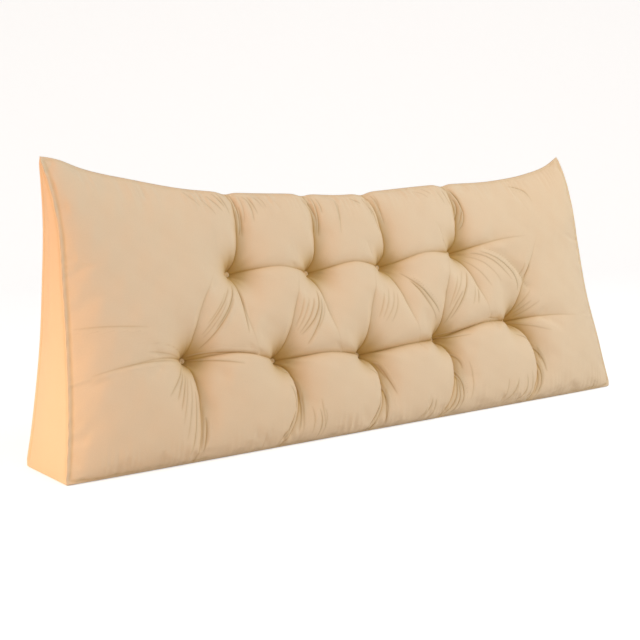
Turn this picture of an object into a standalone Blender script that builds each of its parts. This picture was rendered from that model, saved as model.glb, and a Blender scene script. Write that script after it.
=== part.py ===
"""Tufted wedge backrest pillow: one filled cover that stands on its base, and the buttons of its tufts.

Metres, +Z up. X runs along the pillow, the tufted face looks to -Y, and the base rests on z = 0.
The origin is the centre of the base of the pillow's bounding box.
"""

import math

import bmesh
import bpy
import numpy as np
from mathutils import Matrix, Vector

# Driving sizes of the sewn cover
LENGTH = 1.350          # along the bottom seams
BASE_DEPTH = 0.175      # bottom front seam to bottom back seam
APEX_BACK = 0.133       # how far the top seam stands behind the bottom front seam
EAR_HEIGHT = 0.541      # top seam at its two pointed corners
SEAM_LIFT = 0.0015      # bottom seams above the surface the pillow stands on
CORNER_LIFT = 0.0015    # how much further its bottom corners turn up
CORNER_REACH = 14       # how late they turn up
FOOT_ROLL = 0.005       # width of the rolled edge between a bottom seam and the flat base
SEAM_RIDGE = 0.0025     # the end seams stand proud of the cloth beside them
RIDGE_WIDTH = 0.007
DEPTH_CENTRE = 0.0828   # middle of the pillow's whole depth, behind the bottom front seam

# How full the filling makes it
FRONT_CROWN = 0.045     # tufted face in front of the line between its seams
BACK_CROWN = 0.018      # plain back behind the line between its seams
GUSSET_CROWN = 0.007    # end triangles beyond their seams
CROWN_ROUND = 0.5       # 0.5 makes the crown leave its seams like an ellipse
CROWN_LOW = 0.80        # below 1 the filling settles towards the base
END_REACH = 8           # how late the crown falls to the end seams
END_ROUND = 0.7         # as CROWN_ROUND, at the end seams

# Tufts and the creases between them
TUFT_RECESS = 0.024     # button seats behind the line between the seams, at the foot of the face
RECESS_TAPER = 0.011    # how much shallower the seats are by the top, where the wedge is thin
WELL_RADIUS = 0.022     # how fast a well opens out around its button
WELL_FLOOR = 1.28       # above 1 the well has a flat floor under its button
FOLD_HALF = 0.013       # half width of the folds up the face, on their left
FOLD_OPENING = 1.5      # how much wider they open on their right
CREASE_SHAPE = 1.0      # 1 is a sharp valley, 2 a round one
CREASE_STEPS = 8        # straight pieces that a crease is read from
TOP_DIP = 0.020         # drop of the top seam at a fold, times the fold's depth there
DIP_HALF = 0.016
JOIN_POWER = 5          # how tightly wells and creases merge where they meet

# Buttons
BUTTON_RADIUS = 0.0045
BUTTON_HEIGHT = 0.0028
BUTTON_BEVEL = 0.0009
BUTTON_SIDES = 12
SEAT_SIDES = 16
SEAT_REACH = 0.036      # length that the seats are cut clear, out of their wells
GAP = 0.0003            # kept between a button and the cover around it

# Finishes
CLOTH_COLOUR, CLOTH_ROUGHNESS = (0.72, 0.55, 0.36), 0.85
BUTTON_COLOUR, BUTTON_ROUGHNESS = (0.66, 0.50, 0.31), 0.6

# Grid of the solid
STATION_STEP = 0.0135
STATION_EASE = 0.40     # draws stations towards the fold lines
STRETCH_ROWS = (10, 11, 10)     # rows from the bottom seam to the tufts, between them, and up to the top
BACK_ROWS = 8

# Fold lines up the tufted face, each through one tuft: the tuft's row (2 low, 4 high); distance along X
# at seven levels (0 bottom seam, 2 low tufts, 4 high tufts, 6 top seam, the odd ones half way);
# how deep the fold is at each level from 0 to 1
FOLD_LINES = (
    (2, (-0.440, -0.419, -0.420, -0.395, -0.345, -0.340, -0.345), (0.16, 0.34, 0.75, 0.13, 0.00, 0.0, 0.0)),
    (4, (-0.300, -0.290, -0.284, -0.300, -0.295, -0.274, -0.277), (0.0, 0.0, 0.0, 0.12, 0.75, 0.42, 0.22)),
    (2, (-0.258, -0.208, -0.226, -0.191, -0.160, -0.170, -0.190), (0.20, 0.40, 0.75, 0.15, 0.00, 0.0, 0.0)),
    (4, (-0.105, -0.100, -0.095, -0.113, -0.114, -0.095, -0.099), (0.0, 0.0, 0.0, 0.13, 0.75, 0.44, 0.22)),
    (2, (-0.047, -0.006, -0.025, -0.004, 0.034, 0.000, -0.030), (0.22, 0.42, 0.75, 0.15, 0.00, 0.0, 0.0)),
    (4, (0.085, 0.100, 0.106, 0.085, 0.067, 0.074, 0.052), (0.0, 0.0, 0.0, 0.15, 0.75, 0.44, 0.22)),
    (2, (0.135, 0.190, 0.175, 0.197, 0.236, 0.200, 0.165), (0.24, 0.44, 0.75, 0.17, 0.00, 0.0, 0.0)),
    (4, (0.300, 0.310, 0.309, 0.288, 0.265, 0.283, 0.274), (0.0, 0.0, 0.0, 0.16, 0.75, 0.44, 0.24)),
    (2, (0.395, 0.435, 0.391, 0.437, 0.498, 0.480, 0.450), (0.24, 0.44, 0.75, 0.20, 0.00, 0.0, 0.0)),
)

# Heights of the two rows of tufts along X: at each tuft, and where the cloth between them arches
LOW_ROW = (
    (-0.675, 0.160),
    (-0.600, 0.170),
    (-0.490, 0.182),
    (-0.420, 0.177),
    (-0.330, 0.176),
    (-0.226, 0.157),
    (-0.125, 0.157),
    (-0.025, 0.147),
    (0.080, 0.153),
    (0.175, 0.158),
    (0.290, 0.177),
    (0.391, 0.178),
    (0.500, 0.176),
    (0.675, 0.160),
)
HIGH_ROW = (
    (-0.675, 0.350),
    (-0.420, 0.336),
    (-0.295, 0.323),
    (-0.205, 0.325),
    (-0.114, 0.314),
    (-0.025, 0.324),
    (0.067, 0.315),
    (0.160, 0.332),
    (0.265, 0.333),
    (0.375, 0.348),
    (0.475, 0.354),
    (0.675, 0.350),
)

# Creases along the rows: which row, from and to along X, depth at start, middle and end, half width
ROW_CREASES = (
    (2, -0.420, -0.226, (0.75, 0.14, 0.75), 0.011),
    (2, -0.226, -0.025, (0.75, 0.24, 0.75), 0.012),
    (2, -0.025, 0.175, (0.75, 0.32, 0.75), 0.012),
    (2, 0.175, 0.391, (0.75, 0.30, 0.75), 0.012),
    (2, 0.391, 0.590, (0.75, 0.16, 0.0), 0.013),
    (2, -0.420, -0.600, (0.75, 0.10, 0.0), 0.014),
    (4, -0.295, -0.114, (0.75, 0.17, 0.75), 0.012),
    (4, -0.114, 0.067, (0.75, 0.20, 0.75), 0.012),
    (4, 0.067, 0.265, (0.75, 0.19, 0.75), 0.012),
    (4, 0.265, 0.470, (0.75, 0.18, 0.0), 0.014),
)

# Loose folds: start, middle and end as (x, height), depths, half width
LOOSE_FOLDS = (
    ((0.335, 0.334), (0.402, 0.296), (0.437, 0.244), (0.12, 0.20, 0.20), 0.016),
    ((-0.420, 0.177), (-0.474, 0.203), (-0.548, 0.210), (0.60, 0.07, 0.00), 0.014),
)

# End seams: share of the height, drawn in from the bottom corner, bulged forward of a straight line
END_SEAM = (
    (0.00, 0.000, 0.000),
    (0.10, 0.010, 0.004),
    (0.20, 0.018, 0.008),
    (0.40, 0.031, 0.010),
    (0.60, 0.038, 0.018),
    (0.80, 0.042, 0.026),
    (0.90, 0.040, 0.020),
    (1.00, 0.036, 0.004),
)

# Top seam: share of the half length, height
TOP_SEAM = (
    (-1.00, 0.541),
    (-0.93, 0.534),
    (-0.86, 0.520),
    (-0.70, 0.499),
    (-0.54, 0.481),
    (-0.40, 0.473),
    (-0.15, 0.467),
    (0.00, 0.463),
    (0.15, 0.470),
    (0.35, 0.479),
    (0.65, 0.487),
    (0.80, 0.500),
    (0.94, 0.523),
    (1.00, 0.541),
)


def through(rows, column, at):
    """A smooth curve through a table's rows, read at the places given."""
    places = np.array([row[0] for row in rows])
    values = np.array([row[column] for row in rows])
    slopes = np.gradient(values, places)
    at = np.clip(at, places[0], places[-1])
    low = np.clip(np.searchsorted(places, at) - 1, 0, len(places) - 2)
    width = places[low + 1] - places[low]
    t = (at - places[low]) / width
    stay, go = 1 - t, t
    return (
        values[low] * (1 + 2 * t) * stay**2
        + values[low + 1] * (3 - 2 * t) * go**2
        + width * (slopes[low] * go * stay**2 - slopes[low + 1] * go**2 * stay)
    )


def bottom_height(x):
    """Height of the bottom seams, which turn up at the corners."""
    return SEAM_LIFT + CORNER_LIFT * np.abs(x / (LENGTH / 2)) ** CORNER_REACH


def top_height(x):
    """Height of the top seam, with its small dips where folds meet it."""
    height = through(TOP_SEAM, 1, x / (LENGTH / 2))
    for _, levels, depths in FOLD_LINES:
        height = height - TOP_DIP * depths[-1] * np.exp(-(((x - levels[-1]) / DIP_HALF) ** 2))
    return height


def level_heights(x):
    """Heights of the seven levels at a place along X."""
    bottom, top = bottom_height(x), top_height(x)
    low, high = through(LOW_ROW, 1, x), through(HIGH_ROW, 1, x)
    return bottom, (bottom + low) / 2, low, (low + high) / 2, high, (high + top) / 2, top


def tufts():
    """Name, distance along X and height of every tuft."""
    found = []
    for row, word in ((2, "low"), (4, "high")):
        lines = [levels for tuft_row, levels, _ in FOLD_LINES if tuft_row == row]
        for count, levels in enumerate(lines, 1):
            found.append((f"{word}_{count}", levels[row], float(level_heights(levels[row])[row])))
    return found


def curved(start, middle, end, steps):
    """Points of the smooth curve through three places."""
    start, middle, end = np.array(start), np.array(middle), np.array(end)
    t = np.linspace(0, 1, steps + 1)[:, None]
    bow = middle - (start + end) / 2
    return start + (end - start) * t + bow * 4 * t * (1 - t)


def stretches(levels):
    """The three curved stretches of a line up the face, from its places along X at the seven levels."""
    places = [(x, float(level_heights(x)[k])) for k, x in enumerate(levels)]
    return [curved(*places[2 * k : 2 * k + 3], rows) for k, rows in enumerate(STRETCH_ROWS)]


def creases():
    """Points, depths and half widths, left and right of its run, of every crease of the tufted face."""
    found = []
    for _, levels, depths in FOLD_LINES:
        for k, points in enumerate(stretches(levels)):
            found.append((points, depths[2 * k : 2 * k + 3], (FOLD_HALF, FOLD_HALF * FOLD_OPENING)))
    for row, start, end, depths, half_width in ROW_CREASES:
        x = np.linspace(start, end, CREASE_STEPS + 1)
        found.append((np.stack([x, level_heights(x)[row]], axis=-1), depths, (half_width, half_width)))
    for start, middle, end, depths, half_width in LOOSE_FOLDS:
        found.append((curved(start, middle, end, CREASE_STEPS), depths, (half_width, half_width)))
    return [crease for crease in found if max(crease[1]) > 0]


def nearest(points, x, z):
    """Distance from each (x, z) to a crease, nearest share along it, and whether it lies to its right."""
    best = np.full(np.shape(x), np.inf)
    share = np.zeros(np.shape(x))
    right = np.zeros(np.shape(x), dtype=bool)
    for i, (a, b) in enumerate(zip(points, points[1:])):
        run = b - a
        t = np.clip(((x - a[0]) * run[0] + (z - a[1]) * run[1]) / (run @ run), 0, 1)
        across_x, across_z = x - a[0] - t * run[0], z - a[1] - t * run[1]
        gap = np.hypot(across_x, across_z)
        closer = gap < best
        share = np.where(closer, (i + t) / (len(points) - 1), share)
        right = np.where(closer, run[1] * across_x > run[0] * across_z, right)
        best = np.where(closer, gap, best)
    return best, share, right


def depth_along(depths, share):
    """Depth of a crease at a share of its length: it changes fast beside a tuft, then slowly."""
    start, middle, end = depths
    to_start, to_end = np.clip(1 - 2 * share, 0, 1), np.clip(2 * share - 1, 0, 1)
    to_start = to_start**2 if start > middle else 1 - (1 - to_start) ** 2
    to_end = to_end**2 if end > middle else 1 - (1 - to_end) ** 2
    return middle + (start - middle) * to_start + (end - middle) * to_end


def sunk(x, z):
    """How far the cover is drawn in at each place, from 0 on a cell's crown to 1 at a button."""
    total = np.zeros(np.shape(x))
    for _, tuft_x, tuft_z in tufts():
        well = WELL_FLOOR * np.exp(-np.hypot(x - tuft_x, z - tuft_z) / WELL_RADIUS)
        total = total + well**JOIN_POWER
    for points, depths, (left_half, right_half) in creases():
        gap, share, right = nearest(points, x, z)
        half_width = np.where(right, right_half, left_half)
        depth = depth_along(depths, share) * np.exp(-((gap / half_width) ** CREASE_SHAPE))
        total = total + depth**JOIN_POWER
    return np.minimum(total ** (1 / JOIN_POWER), 1.0)


def crown(u, v):
    """Share of the full crown, 0 on every seam and 1 in the middle of a face."""
    low = np.clip(v, 0, 1) ** CROWN_LOW
    rise = np.clip(4 * low * (1 - low), 0, 1) ** CROWN_ROUND
    return rise * np.clip(1 - np.abs(u) ** END_REACH, 0, 1) ** END_ROUND


def drawn_in(x, v):
    """Places along X, and how far the end seams bulge forward, once the filling draws the ends in."""
    at_end = np.abs(x / (LENGTH / 2)) ** (END_REACH - 2)
    return x - np.sign(x) * through(END_SEAM, 1, v) * at_end, through(END_SEAM, 2, v) * at_end


def front_points(x, height):
    """Places on the tufted front face."""
    v = (height - bottom_height(x)) / (top_height(x) - bottom_height(x))
    place_x, bulge = drawn_in(x, v)
    filled = crown(x / (LENGTH / 2), v)
    full = FRONT_CROWN * filled
    recess = (TUFT_RECESS - RECESS_TAPER * v) * filled**0.5
    relief = full - (full + recess) * sunk(x, height)
    lean = math.atan2(APEX_BACK, EAR_HEIGHT)
    y = APEX_BACK * v - bulge - relief * math.cos(lean) - DEPTH_CENTRE
    return np.stack([place_x, y, height + relief * math.sin(lean)], axis=-1)


def back_points(bottom_x, top_x):
    """Places down the plain back face, from just under the top seam to the bottom seam."""
    v = np.linspace(1, 0, BACK_ROWS + 1)[1:]
    x = bottom_x + (top_x - bottom_x) * v
    filled = crown(x / (LENGTH / 2), v)
    y = BASE_DEPTH + (APEX_BACK - BASE_DEPTH) * v + BACK_CROWN * filled - DEPTH_CENTRE
    height = bottom_height(x) + (top_height(x) - bottom_height(x)) * v
    return np.stack([drawn_in(x, v)[0], y, height], axis=-1)


def base_points(x, at_end):
    """The two edges of the flat base, which meet the bottom seams at the pillow's ends."""
    reach = LENGTH / 2 - FOOT_ROLL
    place = x if at_end else max(-reach, min(reach, x))
    height = bottom_height(x) if at_end else 0.0
    return [
        (place, BASE_DEPTH - FOOT_ROLL - DEPTH_CENTRE, height),
        (place, FOOT_ROLL - DEPTH_CENTRE, height),
    ]


def station_levels():
    """Every line across the pillow, as places along X at the seven levels, drawn towards the folds."""
    half, levels = LENGTH / 2, len(FOLD_LINES[0][1])
    knots = [np.array(line[1]) for line in FOLD_LINES]
    knots = [np.full(levels, RIDGE_WIDTH - half), *knots, np.full(levels, half - RIDGE_WIDTH)]
    lines = [np.full(levels, -half)]
    for a, b in zip(knots, knots[1:]):
        count = round(float((b - a).mean()) / STATION_STEP)
        for step in range(count):
            t = step / count
            lines.append(a + (b - a) * (t - STATION_EASE * math.sin(2 * math.pi * t) / (2 * math.pi)))
    return [*lines, knots[-1], np.full(levels, half)]


def ring_points(levels, side):
    """One loop around the pillow; side is -1 or 1 on the end seams and 0 between them."""
    upright = stretches(levels)
    line = np.concatenate([*(points[:-1] for points in upright), upright[-1][-1:]])
    front = front_points(line[:, 0], line[:, 1])
    back = back_points(levels[0], levels[-1])
    if side:
        front[:-1, 1] -= SEAM_RIDGE
        back[:, 1] += SEAM_RIDGE
    return [*front, *back, *base_points(levels[0], bool(side))]


def close_end(bm, ring, side):
    """The triangular end: strips between the front and back seams, bulged along the middle."""
    front_rows = sum(STRETCH_ROWS)
    front, back = ring[: front_rows + 1], ring[front_rows + 1 : -2][::-1]
    steps = np.linspace(0, front_rows, BACK_ROWS + 1).round().astype(int)
    middle = []
    for k in range(BACK_ROWS):
        bulge = GUSSET_CROWN * math.sin(math.pi * (k + 0.5) / BACK_ROWS)
        place = (front[steps[k]].co + back[k].co) / 2 + Vector((side * bulge, 0, 0))
        middle.append(bm.verts.new(place))
    bm.faces.new([ring[-1], front[0], middle[0], back[0], ring[-2]])
    for k in range(BACK_ROWS - 1):
        bm.faces.new([*front[steps[k] : steps[k + 1] + 1], middle[k + 1], middle[k]])
        bm.faces.new([middle[k], middle[k + 1], back[k + 1], back[k]])
    bm.faces.new([*front[steps[-2] :], back[-1], middle[-1]])


def cover_mesh():
    """The whole filled cover as one closed mesh, built loop by loop along X."""
    bm = bmesh.new()
    lines = station_levels()
    sides = [-1, *[0] * (len(lines) - 2), 1]
    rings = []
    for levels, side in zip(lines, sides):
        rings.append([bm.verts.new(place) for place in ring_points(levels, side)])
    for a, b in zip(rings, rings[1:]):
        for j in range(len(a)):
            k = (j + 1) % len(a)
            bm.faces.new((a[j], a[k], b[k], b[j]))
    close_end(bm, rings[0], -1)
    close_end(bm, rings[-1], 1)
    bmesh.ops.triangulate(bm, faces=bm.faces)
    bmesh.ops.recalc_face_normals(bm, faces=bm.faces)
    return bm


def seat_matrix(x, height):
    """Where a button sits: at the bottom of its well, its axis along the leaning face's normal."""
    seat = front_points(np.array([x]), np.array([height]))[0]
    lean = math.atan2(APEX_BACK, EAR_HEIGHT)
    return Matrix.Translation(seat) @ Matrix.Rotation(math.pi / 2 - lean, 4, "X")


def make_object(name, bm, colour, roughness):
    """An object of its own for one piece, with the piece's own material."""
    mesh = bpy.data.meshes.new(name)
    bm.to_mesh(mesh)
    bm.free()
    mesh.shade_smooth()
    piece = bpy.data.objects.new(name, mesh)
    bpy.context.collection.objects.link(piece)
    material = bpy.data.materials.new(name)
    material.use_nodes = True
    surface = material.node_tree.nodes["Principled BSDF"]
    surface.inputs["Base Color"].default_value = (*colour, 1.0)
    surface.inputs["Roughness"].default_value = roughness
    surface.inputs["Metallic"].default_value = 0.0
    mesh.materials.append(material)
    return piece


def button_mesh():
    """A small domed button with its flat side on z = 0."""
    bm = bmesh.new()
    bmesh.ops.create_cone(
        bm, cap_ends=True, segments=BUTTON_SIDES, radius1=BUTTON_RADIUS, radius2=BUTTON_RADIUS,
        depth=BUTTON_HEIGHT, matrix=Matrix.Translation((0, 0, BUTTON_HEIGHT / 2)),
    )
    rims = [edge for edge in bm.edges if all(vert.co.z > BUTTON_HEIGHT / 2 for vert in edge.verts)]
    bmesh.ops.bevel(
        bm, geom=rims, offset=BUTTON_BEVEL, affect="EDGES", segments=2, profile=0.5, material=-1,
    )
    return bm


def seat_cutter(places):
    """One cylinder for each button seat, from the bottom of the well outwards."""
    bm = bmesh.new()
    radius = BUTTON_RADIUS + 2 * GAP
    for place in places:
        lift = Matrix.Translation((0, 0, SEAT_REACH / 2))
        bmesh.ops.create_cone(
            bm, cap_ends=True, segments=SEAT_SIDES, radius1=radius, radius2=radius,
            depth=SEAT_REACH, matrix=place @ lift,
        )
    return bm


def build():
    for existing in list(bpy.data.objects):
        bpy.data.objects.remove(existing)
    body = make_object("cushion_body", cover_mesh(), CLOTH_COLOUR, CLOTH_ROUGHNESS)
    seats = {name: seat_matrix(x, height) for name, x, height in tufts()}
    cutter = make_object("seat_cutter", seat_cutter(seats.values()), CLOTH_COLOUR, CLOTH_ROUGHNESS)
    cutter.hide_render = True
    cutter.display_type = "WIRE"
    cut = body.modifiers.new("button_seats", "BOOLEAN")
    cut.operation = "DIFFERENCE"
    cut.solver = "EXACT"
    cut.object = cutter
    for name, seat in seats.items():
        button = make_object("tuft_button_" + name, button_mesh(), BUTTON_COLOUR, BUTTON_ROUGHNESS)
        button.matrix_world = seat @ Matrix.Translation((0, 0, GAP))


build()
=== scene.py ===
"""Looks of a button-tufted wedge backrest pillow: its sewn cloth cover, its buttons and a plain studio.

Metres, +Z up. X runs along the pillow, the tufted face looks to -Y, and the base rests on z = 0.
"""

import math

import bmesh
import bpy
import numpy as np
from mathutils import Matrix, Vector
from mathutils.kdtree import KDTree


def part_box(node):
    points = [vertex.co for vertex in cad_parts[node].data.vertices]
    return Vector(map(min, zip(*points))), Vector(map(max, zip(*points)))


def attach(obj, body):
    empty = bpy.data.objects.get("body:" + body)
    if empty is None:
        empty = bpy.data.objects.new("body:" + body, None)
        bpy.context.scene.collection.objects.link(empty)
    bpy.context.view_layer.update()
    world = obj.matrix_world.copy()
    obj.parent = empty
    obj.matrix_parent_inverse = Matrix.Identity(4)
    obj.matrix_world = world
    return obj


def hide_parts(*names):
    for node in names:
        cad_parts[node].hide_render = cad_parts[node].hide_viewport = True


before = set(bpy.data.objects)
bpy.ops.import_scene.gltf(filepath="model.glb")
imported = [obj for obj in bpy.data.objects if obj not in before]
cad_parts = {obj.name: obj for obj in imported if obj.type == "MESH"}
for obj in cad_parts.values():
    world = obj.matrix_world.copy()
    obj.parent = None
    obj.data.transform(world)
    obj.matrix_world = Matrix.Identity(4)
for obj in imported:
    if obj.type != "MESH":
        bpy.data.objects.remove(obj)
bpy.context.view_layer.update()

bl_info = {
    "name": "Tufted wedge pillow",
    "version": (1, 0, 0),
    "blender": (4, 5, 0),
    "location": "View3D > Sidebar > Pillow",
    "description": "Sews the cover and the tuft buttons of a wedge backrest pillow and lights them",
    "category": "Object",
}

# Sizes read from the frame
COVER_LOW, COVER_HIGH = (Vector(corner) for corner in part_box("cushion_body"))
EAR_HEIGHT = COVER_HIGH.z

# Sewn cover, laid out as the solid it replaces
LENGTH = 1.350          # along the bottom seams
BASE_DEPTH = 0.175      # bottom front seam to bottom back seam
APEX_BACK = 0.133       # how far the top seam stands behind the bottom front seam
SEAM_LIFT = 0.0015      # bottom seams above the floor
CORNER_LIFT = 0.0015    # how much further the bottom corners turn up
CORNER_REACH = 14       # how late they turn up
FOOT_ROLL = 0.005       # rolled edge between a bottom seam and the flat base
DEPTH_CENTRE = 0.0828   # middle of the whole depth, behind the bottom front seam
LEAN = math.atan2(APEX_BACK, EAR_HEIGHT)
FACE_NORMAL = np.array([0.0, -math.cos(LEAN), math.sin(LEAN)])

# How the filling presses the panels out
FRONT_CROWN = 0.045     # tufted face in front of the line between its seams
BACK_CROWN = 0.018      # plain back behind the line between its seams
BACK_RIPPLE = 0.0022    # slow unevenness of the filled back
GUSSET_CROWN = 0.007    # end triangles beyond their seams
GUSSET_FOLD = 0.004     # depth of a gusset's soft fold beside its back seam
GUSSET_FOLD_ACROSS = (0.72, 0.11)   # where it lies across the gusset and its half width, as shares
GUSSET_FOLD_UP = (0.64, 0.17)       # and the same up the gusset
CROWN_ROUND = 0.5       # 0.5 makes the crown leave its seams like an ellipse
CROWN_LOW = 0.80        # below 1 the filling settles towards the base
END_REACH = 8           # how late the crown falls to the end seams
END_ROUND = 0.7         # as CROWN_ROUND, at the end seams

# Tufts, and the creases between them
TUFT_RECESS = 0.024     # tufts behind the line between the seams, at the foot of the face
RECESS_TAPER = 0.011    # how much shallower they are by the top, where the wedge is thin
WELL_RADIUS = 0.022     # how fast a well opens out around its button
WELL_FLOOR = 1.28       # above 1 the well has a flat floor under its button
FOLD_HALF = 0.013       # half width of the folds up the face, on their left
FOLD_OPENING = 1.5      # how much wider they open on their right
CREASE_SHAPE = 1.0      # 1 is a sharp valley, 2 a round one
CREASE_STEPS = 8        # straight pieces that a crease is read from
TOP_DIP = 0.020         # drop of the top seam at a fold, times the fold's depth there
DIP_HALF = 0.016
JOIN_POWER = 5          # how tightly wells and creases merge where they meet

# Cloth grid
GRID_STEP = 0.0135      # between two lines of the plain panels, in the open
SEAM_STEP = 0.0013      # first line beside a seam
FOLD_STEP = 0.0052      # first line beside a fold
STEP_GROWTH = 1.38
FINER_ACROSS = 5        # tufted face's columns for each wide gap between the plain panels' columns
FINER_UP = 3            # and its rows for each wide gap between their rows
WIDE_GAP = 0.0045
WELD = 1e-5             # distance under which two sewn points are one

# Seams and fine relief of the cloth
RIDGE_HALF = 0.0024     # half width of the sewn ridge
GROOVE_PLACE = 2.3      # where the groove beside it lies, in half widths
GROOVE_SHARE = 0.35     # depth of that groove for each unit of the ridge's height
TOP_RIDGE = 0.4         # the top seam is turned in, so its ridge is lower than the others
CORNER_FADE = 0.008     # ridges sink into the pointed corners
GATHER_REACH = 0.034    # how far gathers run in from a seam
GATHER_DRIFT = (1.7, 5.3)       # how their spacing drifts: by how much, over how many gathers
GATHER_PATCHES = (0.45, 9.1, 1.0)   # and their depth: by which share, over how many, from which turn
FINE_RISE = 3           # fine relief is full where the crown is over a third of its height
LIP_PLACE = 1.6         # a pleat's raised lip beside its groove, in half widths
LIP_SHARE = 0.75
PLEAT_SOFT = 1.5        # how much wider than its sharp line the cloth bends at a pleat
PLEAT_REACH = 4.0       # half widths after which a pleat is gone
PLEAT_LAYERS = 4        # pleats that lie close to each other are drawn in different layers
LAYER_CORE = 0.0045     # distance from a pleat up to which its layer is drawn in full
LAYER_REACH = 0.0100    # and where it ends
LINE_HALF = 0.0012      # half width of a pleat's sharp line
BAND_SPANS = 2.6        # half widths to which its band of painted shade reaches
CREASE_LINE = 0.0032    # depth of the sharp line along the bottom of the deepest crease, which also sets its painted shade
PUCKER_REACH = 0.022    # how far a button draws the cloth into rays
PUCKER_RAYS = (9, 13)   # its rays, and the shallower ones between them
PUCKER_SHARE = 0.5      # depth of the shallower ones, as a share

# Front panel pressed out by the filling: a short cloth simulation
SWELL_FRAMES = 20
SWELL_ROOM = 0.002      # how much flatter the crowns start than they end
SWELL_CAP = 0.006       # no point moves further

# Fold lines up the tufted face, each through one tuft: the tuft's row (2 low, 4 high); distance along X
# at seven levels (0 bottom seam, 2 low tufts, 4 high tufts, 6 top seam, the odd ones half way);
# how deep the fold is at each level from 0 to 1
FOLD_LINES = (
    (2, (-0.440, -0.419, -0.420, -0.395, -0.345, -0.340, -0.345), (0.16, 0.34, 0.75, 0.13, 0.00, 0.0, 0.0)),
    (4, (-0.300, -0.290, -0.284, -0.300, -0.295, -0.274, -0.277), (0.0, 0.0, 0.0, 0.12, 0.75, 0.42, 0.22)),
    (2, (-0.258, -0.208, -0.226, -0.191, -0.160, -0.170, -0.190), (0.20, 0.40, 0.75, 0.15, 0.00, 0.0, 0.0)),
    (4, (-0.105, -0.100, -0.095, -0.113, -0.114, -0.095, -0.099), (0.0, 0.0, 0.0, 0.13, 0.75, 0.44, 0.22)),
    (2, (-0.047, -0.006, -0.025, -0.004, 0.034, 0.000, -0.030), (0.22, 0.42, 0.75, 0.15, 0.00, 0.0, 0.0)),
    (4, (0.085, 0.100, 0.106, 0.085, 0.067, 0.074, 0.052), (0.0, 0.0, 0.0, 0.15, 0.75, 0.44, 0.22)),
    (2, (0.135, 0.190, 0.175, 0.197, 0.236, 0.200, 0.165), (0.24, 0.44, 0.75, 0.17, 0.00, 0.0, 0.0)),
    (4, (0.300, 0.310, 0.309, 0.288, 0.265, 0.283, 0.274), (0.0, 0.0, 0.0, 0.16, 0.75, 0.44, 0.24)),
    (2, (0.395, 0.435, 0.391, 0.437, 0.498, 0.480, 0.450), (0.24, 0.44, 0.75, 0.20, 0.00, 0.0, 0.0)),
)

# Heights of the two rows of tufts along X: at each tuft, and where the cloth between them arches
LOW_ROW = (
    (-0.675, 0.160),
    (-0.600, 0.170),
    (-0.490, 0.182),
    (-0.420, 0.177),
    (-0.330, 0.176),
    (-0.226, 0.157),
    (-0.125, 0.157),
    (-0.025, 0.147),
    (0.080, 0.153),
    (0.175, 0.158),
    (0.290, 0.177),
    (0.391, 0.178),
    (0.500, 0.176),
    (0.675, 0.160),
)
HIGH_ROW = (
    (-0.675, 0.350),
    (-0.420, 0.336),
    (-0.295, 0.323),
    (-0.205, 0.325),
    (-0.114, 0.314),
    (-0.025, 0.324),
    (0.067, 0.315),
    (0.160, 0.332),
    (0.265, 0.333),
    (0.375, 0.348),
    (0.475, 0.354),
    (0.675, 0.350),
)

# Creases along the rows: which row, from and to along X, depth at start, middle and end, half width
ROW_CREASES = (
    (2, -0.420, -0.226, (0.75, 0.14, 0.75), 0.011),
    (2, -0.226, -0.025, (0.75, 0.24, 0.75), 0.012),
    (2, -0.025, 0.175, (0.75, 0.32, 0.75), 0.012),
    (2, 0.175, 0.391, (0.75, 0.30, 0.75), 0.012),
    (2, 0.391, 0.590, (0.75, 0.16, 0.0), 0.013),
    (2, -0.420, -0.600, (0.75, 0.10, 0.0), 0.014),
    (4, -0.295, -0.114, (0.75, 0.17, 0.75), 0.012),
    (4, -0.114, 0.067, (0.75, 0.20, 0.75), 0.012),
    (4, 0.067, 0.265, (0.75, 0.19, 0.75), 0.012),
    (4, 0.265, 0.470, (0.75, 0.18, 0.0), 0.014),
)

# Loose folds: start, middle and end as (x, height), depths, half width
LOOSE_FOLDS = (
    ((0.335, 0.334), (0.402, 0.296), (0.437, 0.244), (0.12, 0.20, 0.20), 0.016),
    ((-0.420, 0.177), (-0.474, 0.203), (-0.548, 0.210), (0.60, 0.07, 0.00), 0.014),
)

# End seams: share of the height, drawn in from the bottom corner, bulged forward of a straight line
END_SEAM = (
    (0.00, 0.000, 0.000),
    (0.10, 0.010, 0.004),
    (0.20, 0.018, 0.008),
    (0.40, 0.031, 0.010),
    (0.60, 0.038, 0.018),
    (0.80, 0.042, 0.026),
    (0.90, 0.040, 0.020),
    (1.00, 0.036, 0.004),
)

# Top seam: share of the half length, height
TOP_SEAM = (
    (-1.00, 0.541),
    (-0.93, 0.534),
    (-0.86, 0.520),
    (-0.70, 0.499),
    (-0.54, 0.481),
    (-0.40, 0.473),
    (-0.15, 0.467),
    (0.00, 0.463),
    (0.15, 0.470),
    (0.35, 0.479),
    (0.65, 0.487),
    (0.80, 0.500),
    (0.94, 0.523),
    (1.00, 0.541),
)

# Kinds of fine pleats: depth and half width
DEEP_PLEAT = (0.0026, 0.0018)
LONE_PLEAT = (0.0020, 0.0016)
PLAIN_PLEAT = (0.0018, 0.0016)
BROAD_PLEAT = (0.0014, 0.0026)
SOFT_PLEAT = (0.0011, 0.0026)
FAINT_PLEAT = (0.0011, 0.0015)

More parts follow.
